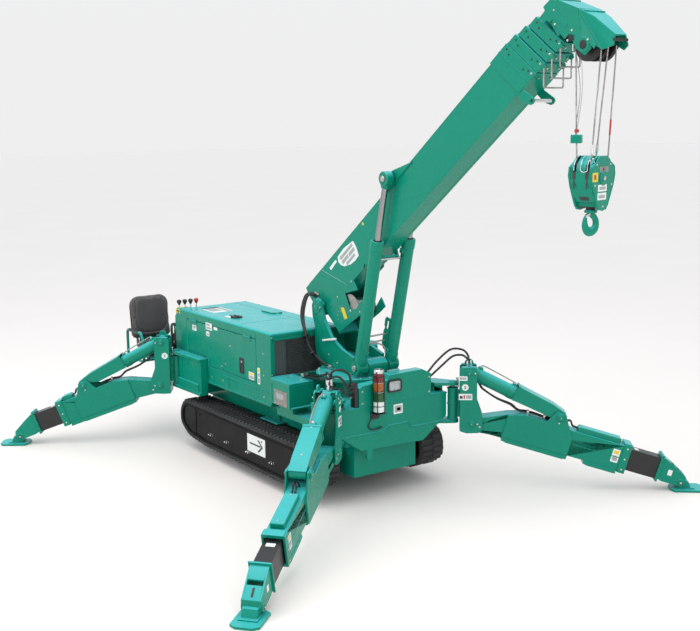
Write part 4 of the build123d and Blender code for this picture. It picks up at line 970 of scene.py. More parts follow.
# ------------------------------------------------------------------ operator's place
def soft(name, node, body, fr, outline, lo, hi, edge, cap, voxel, seams):
    """A stuffed pad: a rounded block is inflated as cloth, then the sewn channels are pressed into it."""
    bm = bmesh.new()
    a = [bm.verts.new(fr.pt(p[0], p[1], lo)) for p in outline]
    b = [bm.verts.new(fr.pt(p[0], p[1], hi)) for p in outline]
    faces = [bm.faces.new(list(reversed(a))), bm.faces.new(b)]
    n = len(outline)
    for i in range(n):
        faces.append(bm.faces.new((a[i], a[(i + 1) % n], b[(i + 1) % n], b[i])))
    bmesh.ops.recalc_face_normals(bm, faces=bm.faces)
    rim = [e for e in bm.edges if e.calc_face_angle(0) > math.radians(60)]
    bmesh.ops.bevel(bm, geom=rim, offset=edge / 1000, segments=5, profile=0.5, affect="EDGES", clamp_overlap=True)
    me = bpy.data.meshes.new(name)
    bm.to_mesh(me)
    bm.free()
    ob = bpy.data.objects.new(name, me)
    bpy.context.scene.collection.objects.link(ob)
    bpy.context.view_layer.objects.active = ob
    mod = ob.modifiers.new("remesh", "REMESH")
    mod.mode, mod.voxel_size = "VOXEL", voxel / 1000
    dg = bpy.context.evaluated_depsgraph_get()
    me2 = bpy.data.meshes.new_from_object(ob.evaluated_get(dg))
    ob.modifiers.clear()
    ob.data = me2
    rest = [v.co.copy() for v in me2.vertices]
    cloth = ob.modifiers.new("cloth", "CLOTH")
    s = cloth.settings
    s.quality = 4
    s.mass = 0.3
    s.use_pressure, s.uniform_pressure_force = True, 4.0
    s.tension_stiffness = s.compression_stiffness = 22
    s.shear_stiffness, s.bending_stiffness = 14, 2.5
    s.effector_weights.gravity = 0
    cloth.collision_settings.use_collision = False
    sc = bpy.context.scene
    for f in range(1, 17):
        sc.frame_set(f)
    dg = bpy.context.evaluated_depsgraph_get()
    me3 = bpy.data.meshes.new_from_object(ob.evaluated_get(dg))
    ob.modifiers.clear()
    ob.data = me3
    for v, r0 in zip(me3.vertices, rest):
        d = v.co - r0
        if d.length > cap / 1000:
            v.co = r0 + d.normalized() * cap / 1000
    sc.frame_set(1)
    sub = ob.modifiers.new("subdivision", "SUBSURF")
    sub.levels = sub.render_levels = 1
    dg = bpy.context.evaluated_depsgraph_get()
    me4 = bpy.data.meshes.new_from_object(ob.evaluated_get(dg))
    ob.modifiers.clear()
    ob.data = me4
    inv = Matrix((fr.ex, fr.ey, fr.en))
    segs = []
    for path in seams:
        segs += [(Vector((*p, 0)), Vector((*q, 0))) for p, q in zip(path, path[1:])]
    origin = fr.o
    for v in me4.vertices:
        w = Vector((v.co.x + DX, v.co.y, v.co.z)) * 1000 - origin
        q = inv @ w
        if q.z < (lo + hi) / 2:
            continue
        p2 = Vector((q.x, q.y, 0))
        best = 1e9
        for s0, s1 in segs:
            d = s1 - s0
            t = max(0, min(1, (p2 - s0).dot(d) / max(d.length_squared, 1e-9)))
            best = min(best, (p2 - (s0 + d * t)).length)
        if best < 26:
            drop = 6.5 * math.exp(-((best / 6.5) ** 2)) + 2.2 * math.exp(-((best / 17) ** 2))
            v.co -= fr.en * drop / 1000
    for p in me4.polygons:
        p.use_smooth = True
    set_materials(ob, [MAT["vinyl"]])
    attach(ob, body)
    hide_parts(node)
    return ob


def arc_rect(x0, x1, y0, y1, r_low, r_high, n=6):
    pts = []
    for cx, cy, r, st in ((x1 - r_high, y1 - r_high, r_high, 0), (x0 + r_high, y1 - r_high, r_high, 90), (x0 + r_low, y0 + r_low, r_low, 180), (x1 - r_low, y0 + r_low, r_low, 270)):
        pts += [(cx + r * math.cos(math.radians(st + 90 * k / n)), cy + r * math.sin(math.radians(st + 90 * k / n))) for k in range(n + 1)]
    return pts


BACK = Fr((-1741, -541, 872), Y, (-44, 0, 392))
panel = [(-148, 402), (-154, 324), (-156, 190), (-150, 120), (-128, 82), (-92, 64), (0, 56), (92, 64), (128, 82), (150, 120), (156, 190), (154, 324), (148, 402)]
soft("seat_back_pad", "seat_back", "machine", BACK, arc_rect(-200, 200, 6, 414, 40, 96), -24, 30, 24, 12, 6.5, [panel])
SEATF = Fr((-1548, -539, 0), X, Y)
inset = [(-138, -132), (-150, 0), (-138, 132), (0, 142), (118, 134), (132, 110), (138, 0), (132, -110), (118, -134), (0, -142), (-138, -132)]
soft("seat_cushion_pad", "seat_cushion", "machine", SEATF, arc_rect(-176, 178, -180, 180, 52, 52), 800, 860, 26, 13, 6.5, [inset])

# seat shell, pan, posts and the tube loops
bt = Batch("seat_shell", "plastic", "machine")
bt.prism(arc_rect(-190, 190, 12, 404, 44, 90), BACK, -34, -22, 5, 3)
bt.prism(arc_rect(-172, 176, -176, 176, 50, 50), SEATF, 788, 800, 4, 3)
for y in (-150, 150):
    bt.prism([(-205, 800), (-165, 800), (-165, 850), (-185, 905), (-212, 905)], Fr((-1548, -539, 0), X, Z), -y - 5, -y + 5, 1.5)
bt.done()
bt = Batch("seat_slides", "iron", "machine")
for y in (-640, -440):
    bt.box(PLAN, -1730, -1400, y - 16, y + 16, 764, 790, 2)
bt.box(PLAN, -1690, -1440, -660, -420, 752, 766, 2)
bt.pipe([(-1392, -600, 776), (-1350, -600, 782), (-1350, -480, 782), (-1392, -480, 776)], 6, 10, corner=20)
bt.done()
bt = Batch("seat_frame_tubes", "green", "machine")
for y in (-772, -310):
    bt.pipe([(-1777, y, 713), (-1777, y, 977), (-1484, y, 977), (-1433, y, 897), (-1433, y, 713)], 13, 16, corner=42, closed=True)
for x in (-1777, -1433):
    bt.pipe([(x, -772, 727), (x, -310, 727)], 12, 14)
bt.box(PLAN, -1800, -1050, -372, -300, 560, 620, 4)
bt.box(PLAN, -1800, -1730, -372, -300, 618, 745, 3)
bt.box(PLAN, -1440, -1370, -372, -300, 618, 745, 3)
bt.box(PLAN, -1790, -1360, -730, -300, 740, 752, 2)
bt.prism([(-1764, 752), (-1742, 752), (-1742, 868), (-1770, 955), (-1784, 955), (-1766, 880)], SIDE, 420, 660, 2)
ob = bt.done()
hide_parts("seat_frame")
bt = Batch("seat_grips", "plastic", "machine")
bt.pipe([(-1720, -772, 978), (-1530, -772, 978)], 16.5, 16)
bt.pipe([(-1720, -310, 978), (-1530, -310, 978)], 16.5, 16)
bt.done()
bt = Batch("foot_bolts", "zinc", "machine")
for x in (-1765, -1405, -1120):
    bt.hexhead(Fr((0, 0, 0), X, Z), x, 590, 372, 9, 8)
bt.done()

# console: dial hump, levers, valve block and its hoses
bt = Batch("console_hump", "green", "machine")
bt.prism([(-1212, 1180), (-1112, 1180), (-1112, 1214), (-1134, 1236), (-1190, 1236), (-1212, 1212)], SIDE, 430, 540, 8, 3)
bt.box(SIDE, -1214, -1106, 706, 712, 545, 549, 1)
bt.done()
label("console_dial_label", SIDE, -1162, 1208, 74, 36, 540.3, "yellow", "machine", 5, inner=[(-26, 26, -8, 8, "dark_print_and_shade")])
label("console_dial_top", PLAN, -1162, -485, 40, 84, 1236.3, "yellow", "machine", 5)
bt = Batch("lever_rods", "zinc", "machine")
knobs = {"plastic": Batch("lever_knobs", "plastic", "machine", 50), "knob_red": Batch("lever_knob_red", "knob_red", "machine", 50)}
boots = Batch("lever_boots", "hose", "machine")
for i, y in enumerate((-528, -472, -416, -360)):
    lean = -10 + 4 * i
    bt.pipe([(-1150, y, 1186), (-1150 + lean * 0.3, y, 1236), (-1150 + lean, y, 1268)], 5, 12)
    k = knobs["knob_red" if i == 3 else "plastic"]
    f = Fr((-1150 + lean, y, 1262), X, Y)
    k.lathe([(0, 0), (8, 0), (10, 4), (13, 12), (19, 22), (22, 32), (20, 41), (12, 47), (0, 49)], f, 0, 0, 24, False)
    boots.lathe([(17, 1188), (17, 1192), (12, 1196), (14, 1200), (10, 1204), (11, 1208), (6, 1213), (0, 1213)], PLAN, -1150, y, 20, False)
ob = bt.done()
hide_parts("control_levers")
for k in knobs.values():
    k.done()
boots.done()
bt = Batch("console_slots", "plastic", "machine")
for y in (-528, -472, -416, -360):
    bt.prism(rr(-1176, -1124, y - 13, y + 13, 10), PLAN, 1189.5, 1192.5, 1)
bt.prism([(-1222, 1100), (-1222, 1150), (-1219, 1150), (-1219, 1100)], SIDE, 350, 520, 0.6)
bt.done()
bt = Batch("valve_block", "iron", "machine")
bt.box(PLAN, -1330, -1236, -520, -372, 905, 975, 4)
for y in (-500, -460, -420, -385):
    bt.box(PLAN, -1318, -1248, y - 14, y + 14, 975, 1010, 3)
    bt.pipe([(-1240, y, 940), (-1218, y, 940)], 10, 12)
bt.pipe([(-1290, -446, 905), (-1290, -446, 745)], 18, 14)
bt.done()
bt = Batch("valve_fittings", "zinc", "machine")
for y in (-500, -460, -420, -385):
    for z in (920, 958):
        f = Fr((0, y, z), Y, Z)
        bt.lathe([(9, -1352), (11, -1348), (11, -1330)], f, 0, 0, 6)
    bt.disc(PLAN, -1283, y, 10, 1010, 1022, 1.5, 18)
bt.done()
bt = Batch("valve_hoses", "hose", "machine")
random.seed(4)
for i, y in enumerate((-500, -460, -420, -385)):
    for z, sag in ((920, 40), (958, 0)):
        j = random.uniform(-10, 10)
        x1 = -1362 - 12 * (i % 2)
        bt.pipe([(-1345, y, z), (x1, y + j, z - 8), (x1 - 14, y + j, z - 60 - sag), (x1 + 6, y + j * 0.5, 800), (-1320, y + 12, 690), (-1255 + 9 * i, y + 20, 640)], 8, 12, smooth_path=True)
for i, y in enumerate((-520, -480, -350)):
    bt.pipe([(-1283, y, 1018), (-1283, y, 1046), (-1262, y, 1070), (-1232, y, 1064), (-1212, y, 1040)], 7, 12, smooth_path=True)
bt.pipe([(-1228, -395, 820), (-1290, -340, 800), (-1300, -250, 720), (-1180, -200, 660), (-1040, -180, 640)], 10, 12, smooth_path=True)
bt.done()

# ------------------------------------------------------------------ outriggers
for name, leg in LEGS.items():
    o = "leg_" + name
    post_b, arm_b, inner_b = f"{o}_post", f"{o}_arm", f"{o}_inner"
    bar_b, rod_b = f"{o}_barrel", f"{o}_rod"
    P, A, C, F = leg.post, leg.arm, leg.cyl, leg.fore
    L, front = leg.arm_l, name.startswith("front")
    pn = "fit_" + name

    def out(lo, hi, f=F):
        """The same offsets on the side that faces the machine's front."""
        return (lo * f, hi * f) if f > 0 else (hi * f, lo * f)

    # pins with their keeper plates, edge lips and swivel rings on the post
    bt = Batch(pn + "_post_trim", "green", post_b)
    for a, b in ((150, leg.pz), HEAD_PIN):
        for s in (-1, 1):
            bt.disc(P, a, b, 30, s * 87.5, s * 93, 2, 32)
            bt.disc(P, a, b, 21, s * 93, s * 99, 2, 28)
            bt.prism([(a + 24, b - 10), (a + 58, b - 10), (a + 58, b + 10), (a + 24, b + 10)], P, *sorted((s * 87.5, s * 93)), 1.2)
    bt.box(P, 54, 70, 800, 968, -12, 12, 2)
    bt.box(P, 70, 186, 984, 992, -75, -40, 2)
    bt.box(P, 70, 186, 984, 992, 40, 75, 2)
    for s in (-1, 1):
        bt.box(P, 60, 84, 480, 960, *sorted((s * 74, s * 77)), 1)
    # lifting ear above the head pin
    bt.prism([(92, 990), (168, 990), (160, 1016), (146, 1030), (118, 1030), (100, 1016)], P, *((60, 76) if F < 0 else (-76, -60)), 3)
    bt.done()
    bt = Batch(pn + "_swivel_rings", "green", post_b)
    for z0, z1 in ((557, 566), (678, 688), (804, 813)):
        bt.lathe([(40, z0), (45, z0 + 1), (45, z1 - 1), (40, z1)], PLAN, *P.mm(0, 0).xy, 32)
    for k in range(3):
        t = math.tau * (k + 0.2) / 3
        c = P.mm(0, 0)
        bt.lathe([(6, 0), (6, 5), (0, 6)], Fr((c.x + 40 * math.cos(t), c.y + 40 * math.sin(t), 745), Vector((-math.sin(t), math.cos(t), 0)), Z), 0, 0, 12, False)
    bt.done()
    bt = Batch(pn + "_post_bolts", "zinc", post_b)
    for a, b in ((150 + 46, leg.pz), (HEAD_PIN[0] + 46, HEAD_PIN[1])):
        for s in (-1, 1):
            bt.hexhead(P, a, b, s * 93, 7, s * 7)
    for s in (-1, 1):
        bt.lathe([(4, s * 99), (4, s * 104), (2.5, s * 106), (0, s * 107)], P, *HEAD_PIN, 10, False)
        bt.lathe([(4, s * 99), (4, s * 104), (2.5, s * 106), (0, s * 107)], P, 150, leg.pz, 10, False)
    bt.hexhead(P, 214, 512, F * 88, 7, F * 6)
    bt.done()
    # swivel lock: a sprung pin through the upper mount plate
    bt = Batch(pn + "_lock_pin", "zinc", post_b)
    c = P.mm(40, 0)
    bt.lathe([(9, 815), (9, 880), (13, 882), (13, 892), (0, 894)], Fr((0, 0, 0), X, Y), c.x, c.y, 20, False)
    bt.done()

    # blank stickers
    if front:
        lo = F * 88.3
        if name == "front_left":
            label(pn + "_label_a", P, 80, 904, 70, 36, lo, "white", post_b, 4, inner=[(-26, 26, -8, 8, "print_grey")])
            label(pn + "_label_b", P, 98, 832, 54, 54, lo, "white", post_b, 27, inner=[(-8, 8, -14, 14, "print_grey")])
            label(pn + "_label_c", P, 101, 755, 106, 50, lo, "white", post_b, 4, inner=[(-46, -22, -14, 8, "dark_print_and_shade"), (-16, -4, -14, 14, "knob_red"), (4, 46, -14, 14, "print_grey")])
        else:
            label(pn + "_label_a", P, 112, 912, 54, 40, lo, "white", post_b, 4, inner=[(-18, 18, -10, 10, "print_grey")])
            label(pn + "_label_b", P, 112, 852, 46, 46, lo, "white", post_b, 23)
            label(pn + "_label_c", P, 116, 762, 84, 74, lo, "white", post_b, 4, inner=[(-32, 32, -4, 24, "print_grey"), (-32, 4, -26, -12, "dark_print_and_shade")])
        label(pn + "_label_arm", A, L - 105, 72, 58, 108, F * 70.4, "white", arm_b, 5, inner=[(-20, 20, 14, 42, "yellow"), (-20, 20, -42, 2, "print_grey")])
        label(pn + "_label_foot", A, L + leg.shows + 100, 60, 34, 46, F * 64.4, "white", inner_b, 4)
    else:
        label(pn + "_label_b", P, 98, 826, 56, 56, F * 88.3, "white", post_b, 28, inner=[(-8, 8, -14, 14, "print_grey")])
        label(pn + "_label_arm", A, L - 105, 72, 50, 84, -F * 70.4, "white", arm_b, 5, inner=[(-16, 16, -24, 24, "print_grey")])
    label(pn + "_label_inner", Fr(A.mm(0, 154), A.ex, -A.en), L + 52, 0, 34, 62, 0.4, "white", inner_b, 4)

    # arm: pin caps on the lugs, doublers, a pressed fold line, stop blocks, cover box on its top
    bt = Batch(pn + "_arm_trim", "green", arm_b)
    for s in (-1, 1):
        bt.disc(A, *LUG_PIN, 32, s * 81, s * 89, 2, 32)
        bt.disc(A, *LUG_PIN, 20, s * 89, s * 95, 2, 28)
        bt.disc(A, 0, 0, 34, s * 69.5, s * 74, 2, 32)
        # lower doubler that steps out under the box
        bt.prism([(262, -60), (300, -74), (760, -74), (792, -60), (792, -37), (262, -37)], A, *sorted((s * 70, s * 78)), 2)
        bt.prism([(L - 330, -62), (L - 300, -70), (L - 66, -70), (L - 66, -37), (L - 330, -37)], A, *sorted((s * 66, s * 74)), 2)
        # long fold line pressed into the side
        bt.prism([(800, 62), (L - 70, 62), (L - 70, 68), (800, 68)], A, *sorted((s * 69.5, s * 72)), 0.8)
    bt.prism([(262, -70), (792, -70), (792, -37), (262, -37)], A, -70, 70, 2)
    bt.box(A, L - 330, L - 66, -66, -37, -66, 66, 2)
    bt.box(A, L - 62, L + 2, 182, 190, -72, 72, 2)
    bt.done()
    # bolted cover over the extension cylinder
    u0, u1 = (820, L - 92) if front else (800, L - 70)
    bt = Batch(pn + "_cover_box", "green", arm_b)
    bt.prism([(u0, 169), (u1, 169), (u1, 206), (u1 - 8, 212), (u0 + 14, 212), (u0, 200)], A, -48, 48, 5, 3)
    bt.done()
    bt = Batch(pn + "_arm_bolts", "zinc", arm_b)
    top = Fr(A.mm(0, 212), A.ex, -A.en)
    for u in (u0 + 30, u1 - 30):
        bt.hexhead(top, u, 0, 0, 7, 5)
    for s in (-1, 1):
        bt.hexhead(A, LUG_PIN[0] - 2, LUG_PIN[1] - 46, s * 82, 7, s * 6)
        bt.lathe([(4, s * 95), (4, s * 100), (0, s * 103)], A, *LUG_PIN, 10, False)
        for u in (L - 30,):
            for v in (-20, 66, 152):
                bt.disc(A, u, v, 7, s * 80, s * 84, 1, 14)
    bt.done()

    # inner box: wear pads at the collar
    bt = Batch(pn + "_wear_pads", "plastic", arm_b)
    for s in (-1, 1):
        bt.box(A, L - 6, L + 6, 150, 158, *sorted((s * 20, s * 52)), 1)
        bt.box(A, L - 6, L + 6, -30, -22, *sorted((s * 20, s * 52)), 1)
    bt.done()

    # foot: painted shade as a thin dark sheet in the clevis window slot, and the pad's upturned edge
    end, mid = L + leg.shows, 66.5
    bt = Batch(pn + "_foot_slot_painted_shade", "dark_print_and_shade", inner_b)
    nose = Fr(A.mm(end + 228, mid - 2), (A.mm(end + 246, mid - 56) - A.mm(end + 228, mid - 2)), A.en)
    top = Fr(A.mm(end + 140, mid + 44), (A.mm(end + 228, mid - 2) - A.mm(end + 140, mid + 44)), A.en)
    bt.box(top, 18, 78, -7, 7, -1.5, 0.6, 0)
    bt.done()
    bt = Batch(pn + "_foot_trim", "green", inner_b)
    for s in (-1, 1):
        bt.disc(A, end + 204, mid - 62, 30, s * 63, s * 70, 2, 28)
        bt.prism([(end + 8, mid - 104), (end + 20, mid - 104), (end + 20, mid + 112), (end + 8, mid + 112)], A, *sorted((s * 62, s * 76)), 2)
    bt.prism([(end + 8, mid + 100), (end + 22, mid + 100), (end + 22, mid + 114), (end + 8, mid + 114)], A, -76, 76, 2)
    bt.box(P, leg.reach - 78, leg.reach + 52, 17.5, 26, -62, 62, 2)
    bt.done()
    bt = Batch(pn + "_foot_bolts", "zinc", inner_b)
    for s in (-1, 1):
        bt.hexhead(A, end + 204, mid - 62, s * 70, 9, s * 7)
    bt.done()

    # cylinder: gland, ports and pipes; rod end and the channel cover's bolts
    bt = Batch(pn + "_barrel_trim", "green", bar_b)
    cc = Fr(C.mm(0, 0), C.ey, C.en)  # its normal runs along the cylinder
    bt.lathe([(55, 340), (59, 343), (59, 398), (55, 402), (27, 402)], cc, 0, 0, 40, False)
    bt.lathe([(55, 34), (58, 36), (58, 66), (55, 70)], cc, 0, 0, 40, False)
    bt.box(C, 52, 92, 50, 72, -18, 18, 3)
    bt.box(C, 352, 386, 52, 72, -18, 18, 3)
    bt.done()
    bt = Batch(pn + "_barrel_pipes", "steel", bar_b)
    side = -F * 26
    bt.pipe([C.mm(72, 70, side * 0), C.mm(72, 84, 0), C.mm(130, 84, side), C.mm(352, 74, side), C.mm(368, 70, 0)], 5, 10, smooth_path=True)
    bt.done()
    bt = Batch(pn + "_barrel_fittings", "zinc", bar_b)
    for t in (72, 368):
        f = Fr(C.mm(t, 70), C.ex, -C.en)
        bt.lathe([(9, 0), (10, 1), (10, 9), (6, 11), (6, 16), (0, 17)], f, 0, 0, 16, False)
    bt.done()
    bt = Batch(pn + "_rod_chrome", "chrome", rod_b)
    bt.lathe([(25.3, 402), (25.3, leg.cyl_l - 70)], cc, 0, 0, 36)
    bt.done()
    bt = Batch(pn + "_rod_bolts", "zinc", rod_b)
    cover1 = leg.cyl_l - 95
    sl = Fr(C.mm(398, 76), (C.mm(cover1, 66) - C.mm(398, 76)), -C.en)
    for t in (24, cover1 - 398 - 20):
        bt.hexhead(sl, t, 0, 0, 7, 5)
    bt.done()
    bt = Batch(pn + "_rod_trim", "green", rod_b)
    bt.prism([(396, 78), (412, 78), (412, -48), (396, -48)], C, *out(64.5, 68), 1)
    bt.prism([(396, 78), (412, 78), (412, -48), (396, -48)], C, *out(64.5, 68, -F), 1)
    bt.prism([(396, 76), (412, 76), (412, 80), (396, 80)], C, -68, 68, 1)
    bt.done()

    # hoses from the post, down inside the leg and along the arm's top, held by clips
    bt = Batch(pn + "_arm_hoses", "hose", arm_b)
    vt = lambda u: 190 if u > 385 else 66 + (u - 60) * (152 - 66) / 190 if u < 250 else 152 + (u - 250) * 38 / 135
    for k, n in enumerate((-14, 8)):
        bt.pipe([A.mm(255, vt(255) + 70, n * 1.4), A.mm(330, vt(330) + 20, n * 1.2), A.mm(392, 203, n), A.mm(470, 204, n), A.mm(560, 196, n), A.mm(600, 192, n), A.mm(640, 186, n)], 8, 12, smooth_path=True)
    # loops that come out beyond the lugs and run into the cover box
    for n in (-10, 12):
        bt.pipe([A.mm(700, 180, n), A.mm(724, 222, n), A.mm(752, 226, n), A.mm(774, 196, n), A.mm(u0 + 6, 188, n * 0.8)], 7, 12, smooth_path=True)
    bt.done()
    bt = Batch(pn + "_hose_clips", "zinc", arm_b)
    for u in (404, 540):
        bt.prism([(u - 9, vt(600) - 2), (u + 9, vt(600) - 2), (u + 9, 216), (u - 9, 216)], A, -24, 20, 3)
    bt.hexhead(Fr(A.mm(0, 216), A.ex, -A.en), 404, -2, 0, 7, 6)
    bt.hexhead(Fr(A.mm(0, 216), A.ex, -A.en), 540, -2, 0, 7, 6)
    f = Fr(A.mm(0, 182), A.ex, -A.en)
    bt.lathe([(10, 0), (10, 12), (7, 14), (7, 26)], f, 700, -1, 12)
    bt.done()
    bt = Batch(pn + "_post_hoses", "hose", post_b)
    for k, n in enumerate((-30, -52)):
        n = n * F
        bt.pipe([P.mm(150, 985, n), P.mm(176, 940, n), P.mm(198, 860, n * 0.8), P.mm(236, 800, n * 0.5)], 8, 12, smooth_path=True)
    bt.done()
    # the run between the post and the arm's first clip, laid in place between both
    run = Batch(pn + "_span_hoses", "hose", None)
    for k, n in enumerate((-14, 8)):
        n0 = (-30, -52)[k] * F * 0.5
        b0 = P.mm(236, 800, n0)
        b3 = A.mm(255, vt(255) + 70, n * 1.4)
        run.pipe([P.mm(214, 838, n0 * 1.3), b0, (Vector(b0) + Vector(b3)) / 2 + Vector((0, 0, -14)), b3, A.mm(300, vt(300) + 40, n * 1.3)], 8, 12, smooth_path=True)
    ob = run.done()
    tuple(P.pt(236, 800))
    tuple(A.pt(255, vt(255) + 70))
    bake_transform(ob)

# ------------------------------------------------------------------ slewing column
bt = Batch("turntable_bolts", "zinc", "column")
for k in range(28):
    t = math.tau * (k + 0.5) / 28
    cx, cy = 890 + 314 * math.cos(t), 314 * math.sin(t)
    if not (110 < abs(cy) < 170 and cx < 1060) and not (abs(cy) < 140 and cx < 640):
        bt.hexhead(PLAN, cx, cy, 950, 8, 8, turn=t)
bt.done()
bt = Batch("column_trim", "green", "column")
for s in (-1, 1):
    bt.disc(SIDE, 533, 1431, 58, s * 149, s * 156, 2.5, 40)
    bt.prism([(585, 1422), (612, 1422), (612, 1440), (585, 1440)], SIDE, *sorted((s * 149, s * 157)), 1.5)
    # edge flange down the front of each side plate
    bt.prism([(638, 1339), (742, 1203), (882, 1133), (1042, 1088), (1040, 1080), (878, 1125), (736, 1196), (632, 1334)], SIDE, *sorted((s * 124, s * 153)), 1.2)
    bt.box(SIDE, 640, 1030, 950, 962, *sorted((s * 149, s * 160)), 2)
bt.box(PLAN, 596, 1040, -120, 120, 1038, 1044, 2)
bt.disc(SIDE, 1120, 1026, 34, -92, -96, 1.5, 36)
bt.disc(SIDE, 1120, 1026, 34, 92, 96, 1.5, 36)
bt.lathe([(331, 915), (336, 918), (336, 944), (331, 948)], PLAN, 890, 0, 72)
bt.done()
bt = Batch("column_pins", "zinc", "column")
for s in (-1, 1):
    bt.hexhead(SIDE, 598, 1431, s * 157, 7, s * 6)
    bt.lathe([(5, s * 158), (5, s * 165), (0, s * 168)], SIDE, 533, 1431, 12, False)
    bt.disc(SIDE, 1120, 1026, 25.3, s * 196, s * 206, 2, 36)
    bt.hexhead(SIDE, 700, 1060, s * 150, 8, s * 7)
    bt.hexhead(SIDE, 820, 1010, s * 150, 8, s * 7)
bt.done()
bt = Batch("column_handle", "white", "column")
bt.pipe([(634, -158, 1168), (812, -158, 1206)], 9, 14)
bt.done()
bt = Batch("column_handle_feet", "zinc", "column")
for x, z in ((650, 1171.5), (796, 1202.5)):
    bt.disc(SIDE, x, z, 6, 149, 160, 1, 12)
bt.done()

# ------------------------------------------------------------------ boom foot
def bite(ob, mat, fr, u0, u1, v0, v1, half):
    """Cuts a rectangular piece out of a finished mesh."""
    cut = bmesh.new()
    ends = [[cut.verts.new(fr.pt(u, v, w)) for u, v in ((u0, v0), (u1, v0), (u1, v1), (u0, v1))] for w in (-half, half)]
    cut.faces.new(list(reversed(ends[0])))
    cut.faces.new(ends[1])
    for i in range(4):
        j = (i + 1) % 4
        cut.faces.new((ends[0][i], ends[0][j], ends[1][j], ends[1][i]))
    bmesh.ops.recalc_face_normals(cut, faces=cut.faces)
    me = bpy.data.meshes.new("bite")
    cut.to_mesh(me)
    cut.free()
    tool, work = bpy.data.objects.new("bite", me), bpy.data.objects.new("bite_work", ob.data)
    for o in (tool, work):
        bpy.context.scene.collection.objects.link(o)
    mod = work.modifiers.new("cut", "BOOLEAN")
    mod.operation, mod.solver, mod.object = "DIFFERENCE", "EXACT", tool
    trimmed = bpy.data.meshes.new_from_object(work.evaluated_get(bpy.context.evaluated_depsgraph_get()))
    for o in (work, tool):
        bpy.data.objects.remove(o)
    ob.data = trimmed
    set_materials(ob, [MAT[mat]])


# the winch plates stop short of the derrick cylinders' gap
bite(bpy.data.objects["boom_base_skin"], "green", BOOM, 505, 760, -360, -68, 130)
BR = 89.3
bt = Batch("boom_trim", "green", "boom_base")
for s in (-1, 1):
    # raised weld seam where the foot box meets the boom, and a doubler on the lower edge further out
    bt.prism([(171, 232), (179, 232), (415, -54), (407, -54)], BOOM, *sorted((s * 88, s * 91.5)), 1.2)
    bt.prism([(1300, 103), (1541, 223), (1558, 223), (1320, 100), (1690, -50), (1682, -56)], BOOM, *sorted((s * 88, s * 90.2)), 0.6)
    bt.prism([(1541, 223), (1300, 103), (1683, -52), (1891, -57)], BOOM, *sorted((s * 88.6, s * 90.0)), 0.5)
    # rolled edge along the top and bottom of the box
    bt.prism([(-60, 238), (2670, 238), (2670, 241.5), (-60, 241.5)], BOOM, *sorted((s * 86, s * 90.5)), 1)
    bt.prism([(730, -58), (2760, -58), (2760, -62), (730, -62)], BOOM, *sorted((s * 70, s * 90)), 1)
    # triangular gusset and flanges on the winch plates
    bt.prism([(60, -92), (96, -92), (326, -70), (300, -232), (284, -232), (268, -112), (80, -112)], BOOM, *sorted((s * 99.6, s * 100.8)), 0.5)
bt.box(BOOM, 60, 90, -300, -40, -89, 89, 2)
bt.done()
bt = Batch("boom_weld", "zinc", "boom_base")
bt.pipe([BOOM.mm(173, 233, 91), BOOM.mm(409, -54, 91)], 2.0, 8)
bt.done()
shield = [(428, 195), (540, 204), (682, 183), (690, 120), (678, 52), (615, 46), (550, 53), (465, 86), (430, 118), (414, 153)]
bt = Batch("boom_shield_label", "white", "boom_base")
bt.prism(shield, BOOM, BR - 0.4, BR + 0.4, 0)
bt.done()
for i, (u0, u1, v0, v1) in enumerate(((448, 660, 150, 178), (456, 560, 108, 140), (570, 664, 108, 140), (500, 640, 72, 98))):
    bt = Batch(f"boom_shield_print_{i}", "print_grey", "boom_base")
    bt.prism([(u0, v0), (u1, v0 + 3), (u1, v1), (u0, v1)], BOOM, BR + 0.1, BR + 0.7, 0)
    bt.done()
bt = Batch("boom_small_label", "white", "boom_base")
bt.prism([(277, 188), (389, 194), (400, 172), (284, 161)], BOOM, BR - 0.4, BR + 0.4, 0)
bt.done()
bt = Batch("boom_diamond", "yellow", "boom_base")
bt.prism([(874, 228), (887, 213), (874, 198), (861, 213)], BOOM, BR - 0.4, BR + 0.4, 0)
bt.done()
bt = Batch("winch_label", "yellow", "boom_base")
bt.prism([(226, -148), (265, -171), (254, -262), (216, -252)], BOOM, 99.8, 100.9, 0)
bt.done()
# winch gearbox and motor between the plates, with the drum's rope turns
bt = Batch("winch_motor", "iron", "boom_base")
bt.disc(BOOM, 180, -196, 52, -70, 70, 4, 36)
bt.box(BOOM, 112, 160, -242, -120, -64, 64, 6)
bt.disc(BOOM, 180, -196, 36, 70, 88, 3, 32)
bt.done()
bt = Batch("winch_bolts", "zinc", "boom_base")
for k in range(8):
    t = math.tau * k / 8
    for s in (-1, 1):
        bt.hexhead(BOOM, 180 + 44 * math.cos(t), -205 + 44 * math.sin(t), s * 99.8, 5, s * 1.1, False)
for u, v in ((110, -60), (240, -60), (480, -60), (480, -296), (430, -306)):
    for s in (-1, 1):
        bt.disc(BOOM, u, v, 7, s * 99.8, s * 100.9, 0.4, 16)
bt.done()
bt = Batch("winch_rope", "steel", "winch")
for k in range(15):
    w = -70 + 10 * k
    bt.lathe([(62, w - 5), (68, w - 4), (71.5, w), (68, w + 4), (62, w + 5)], BOOM, 330, -205, 36, False)
bt.done()
bt = Batch("winch_flange_bolts", "zinc", "winch")
for k in range(6):
    t = math.tau * k / 6
    for s in (-1, 1):
        bt.hexhead(BOOM, 330 + 82 * math.cos(t), -205 + 82 * math.sin(t), s * 86, 6, s * 4, False)
bt.done()
bt = Batch("foot_fittings", "zinc", "boom_base")
for u, v in ((-8, 128), (12, 104)):
    bt.pipe([BOOM.mm(u, v, 84), BOOM.mm(u, v, 98)], 11, 6)
    bt.pipe([BOOM.mm(u, v, 100), BOOM.mm(u - 34, v + 6, 108)], 9, 12)
bt.pipe([BOOM.mm(421, -290, 84), BOOM.mm(421, -290, 99)], 10, 6)
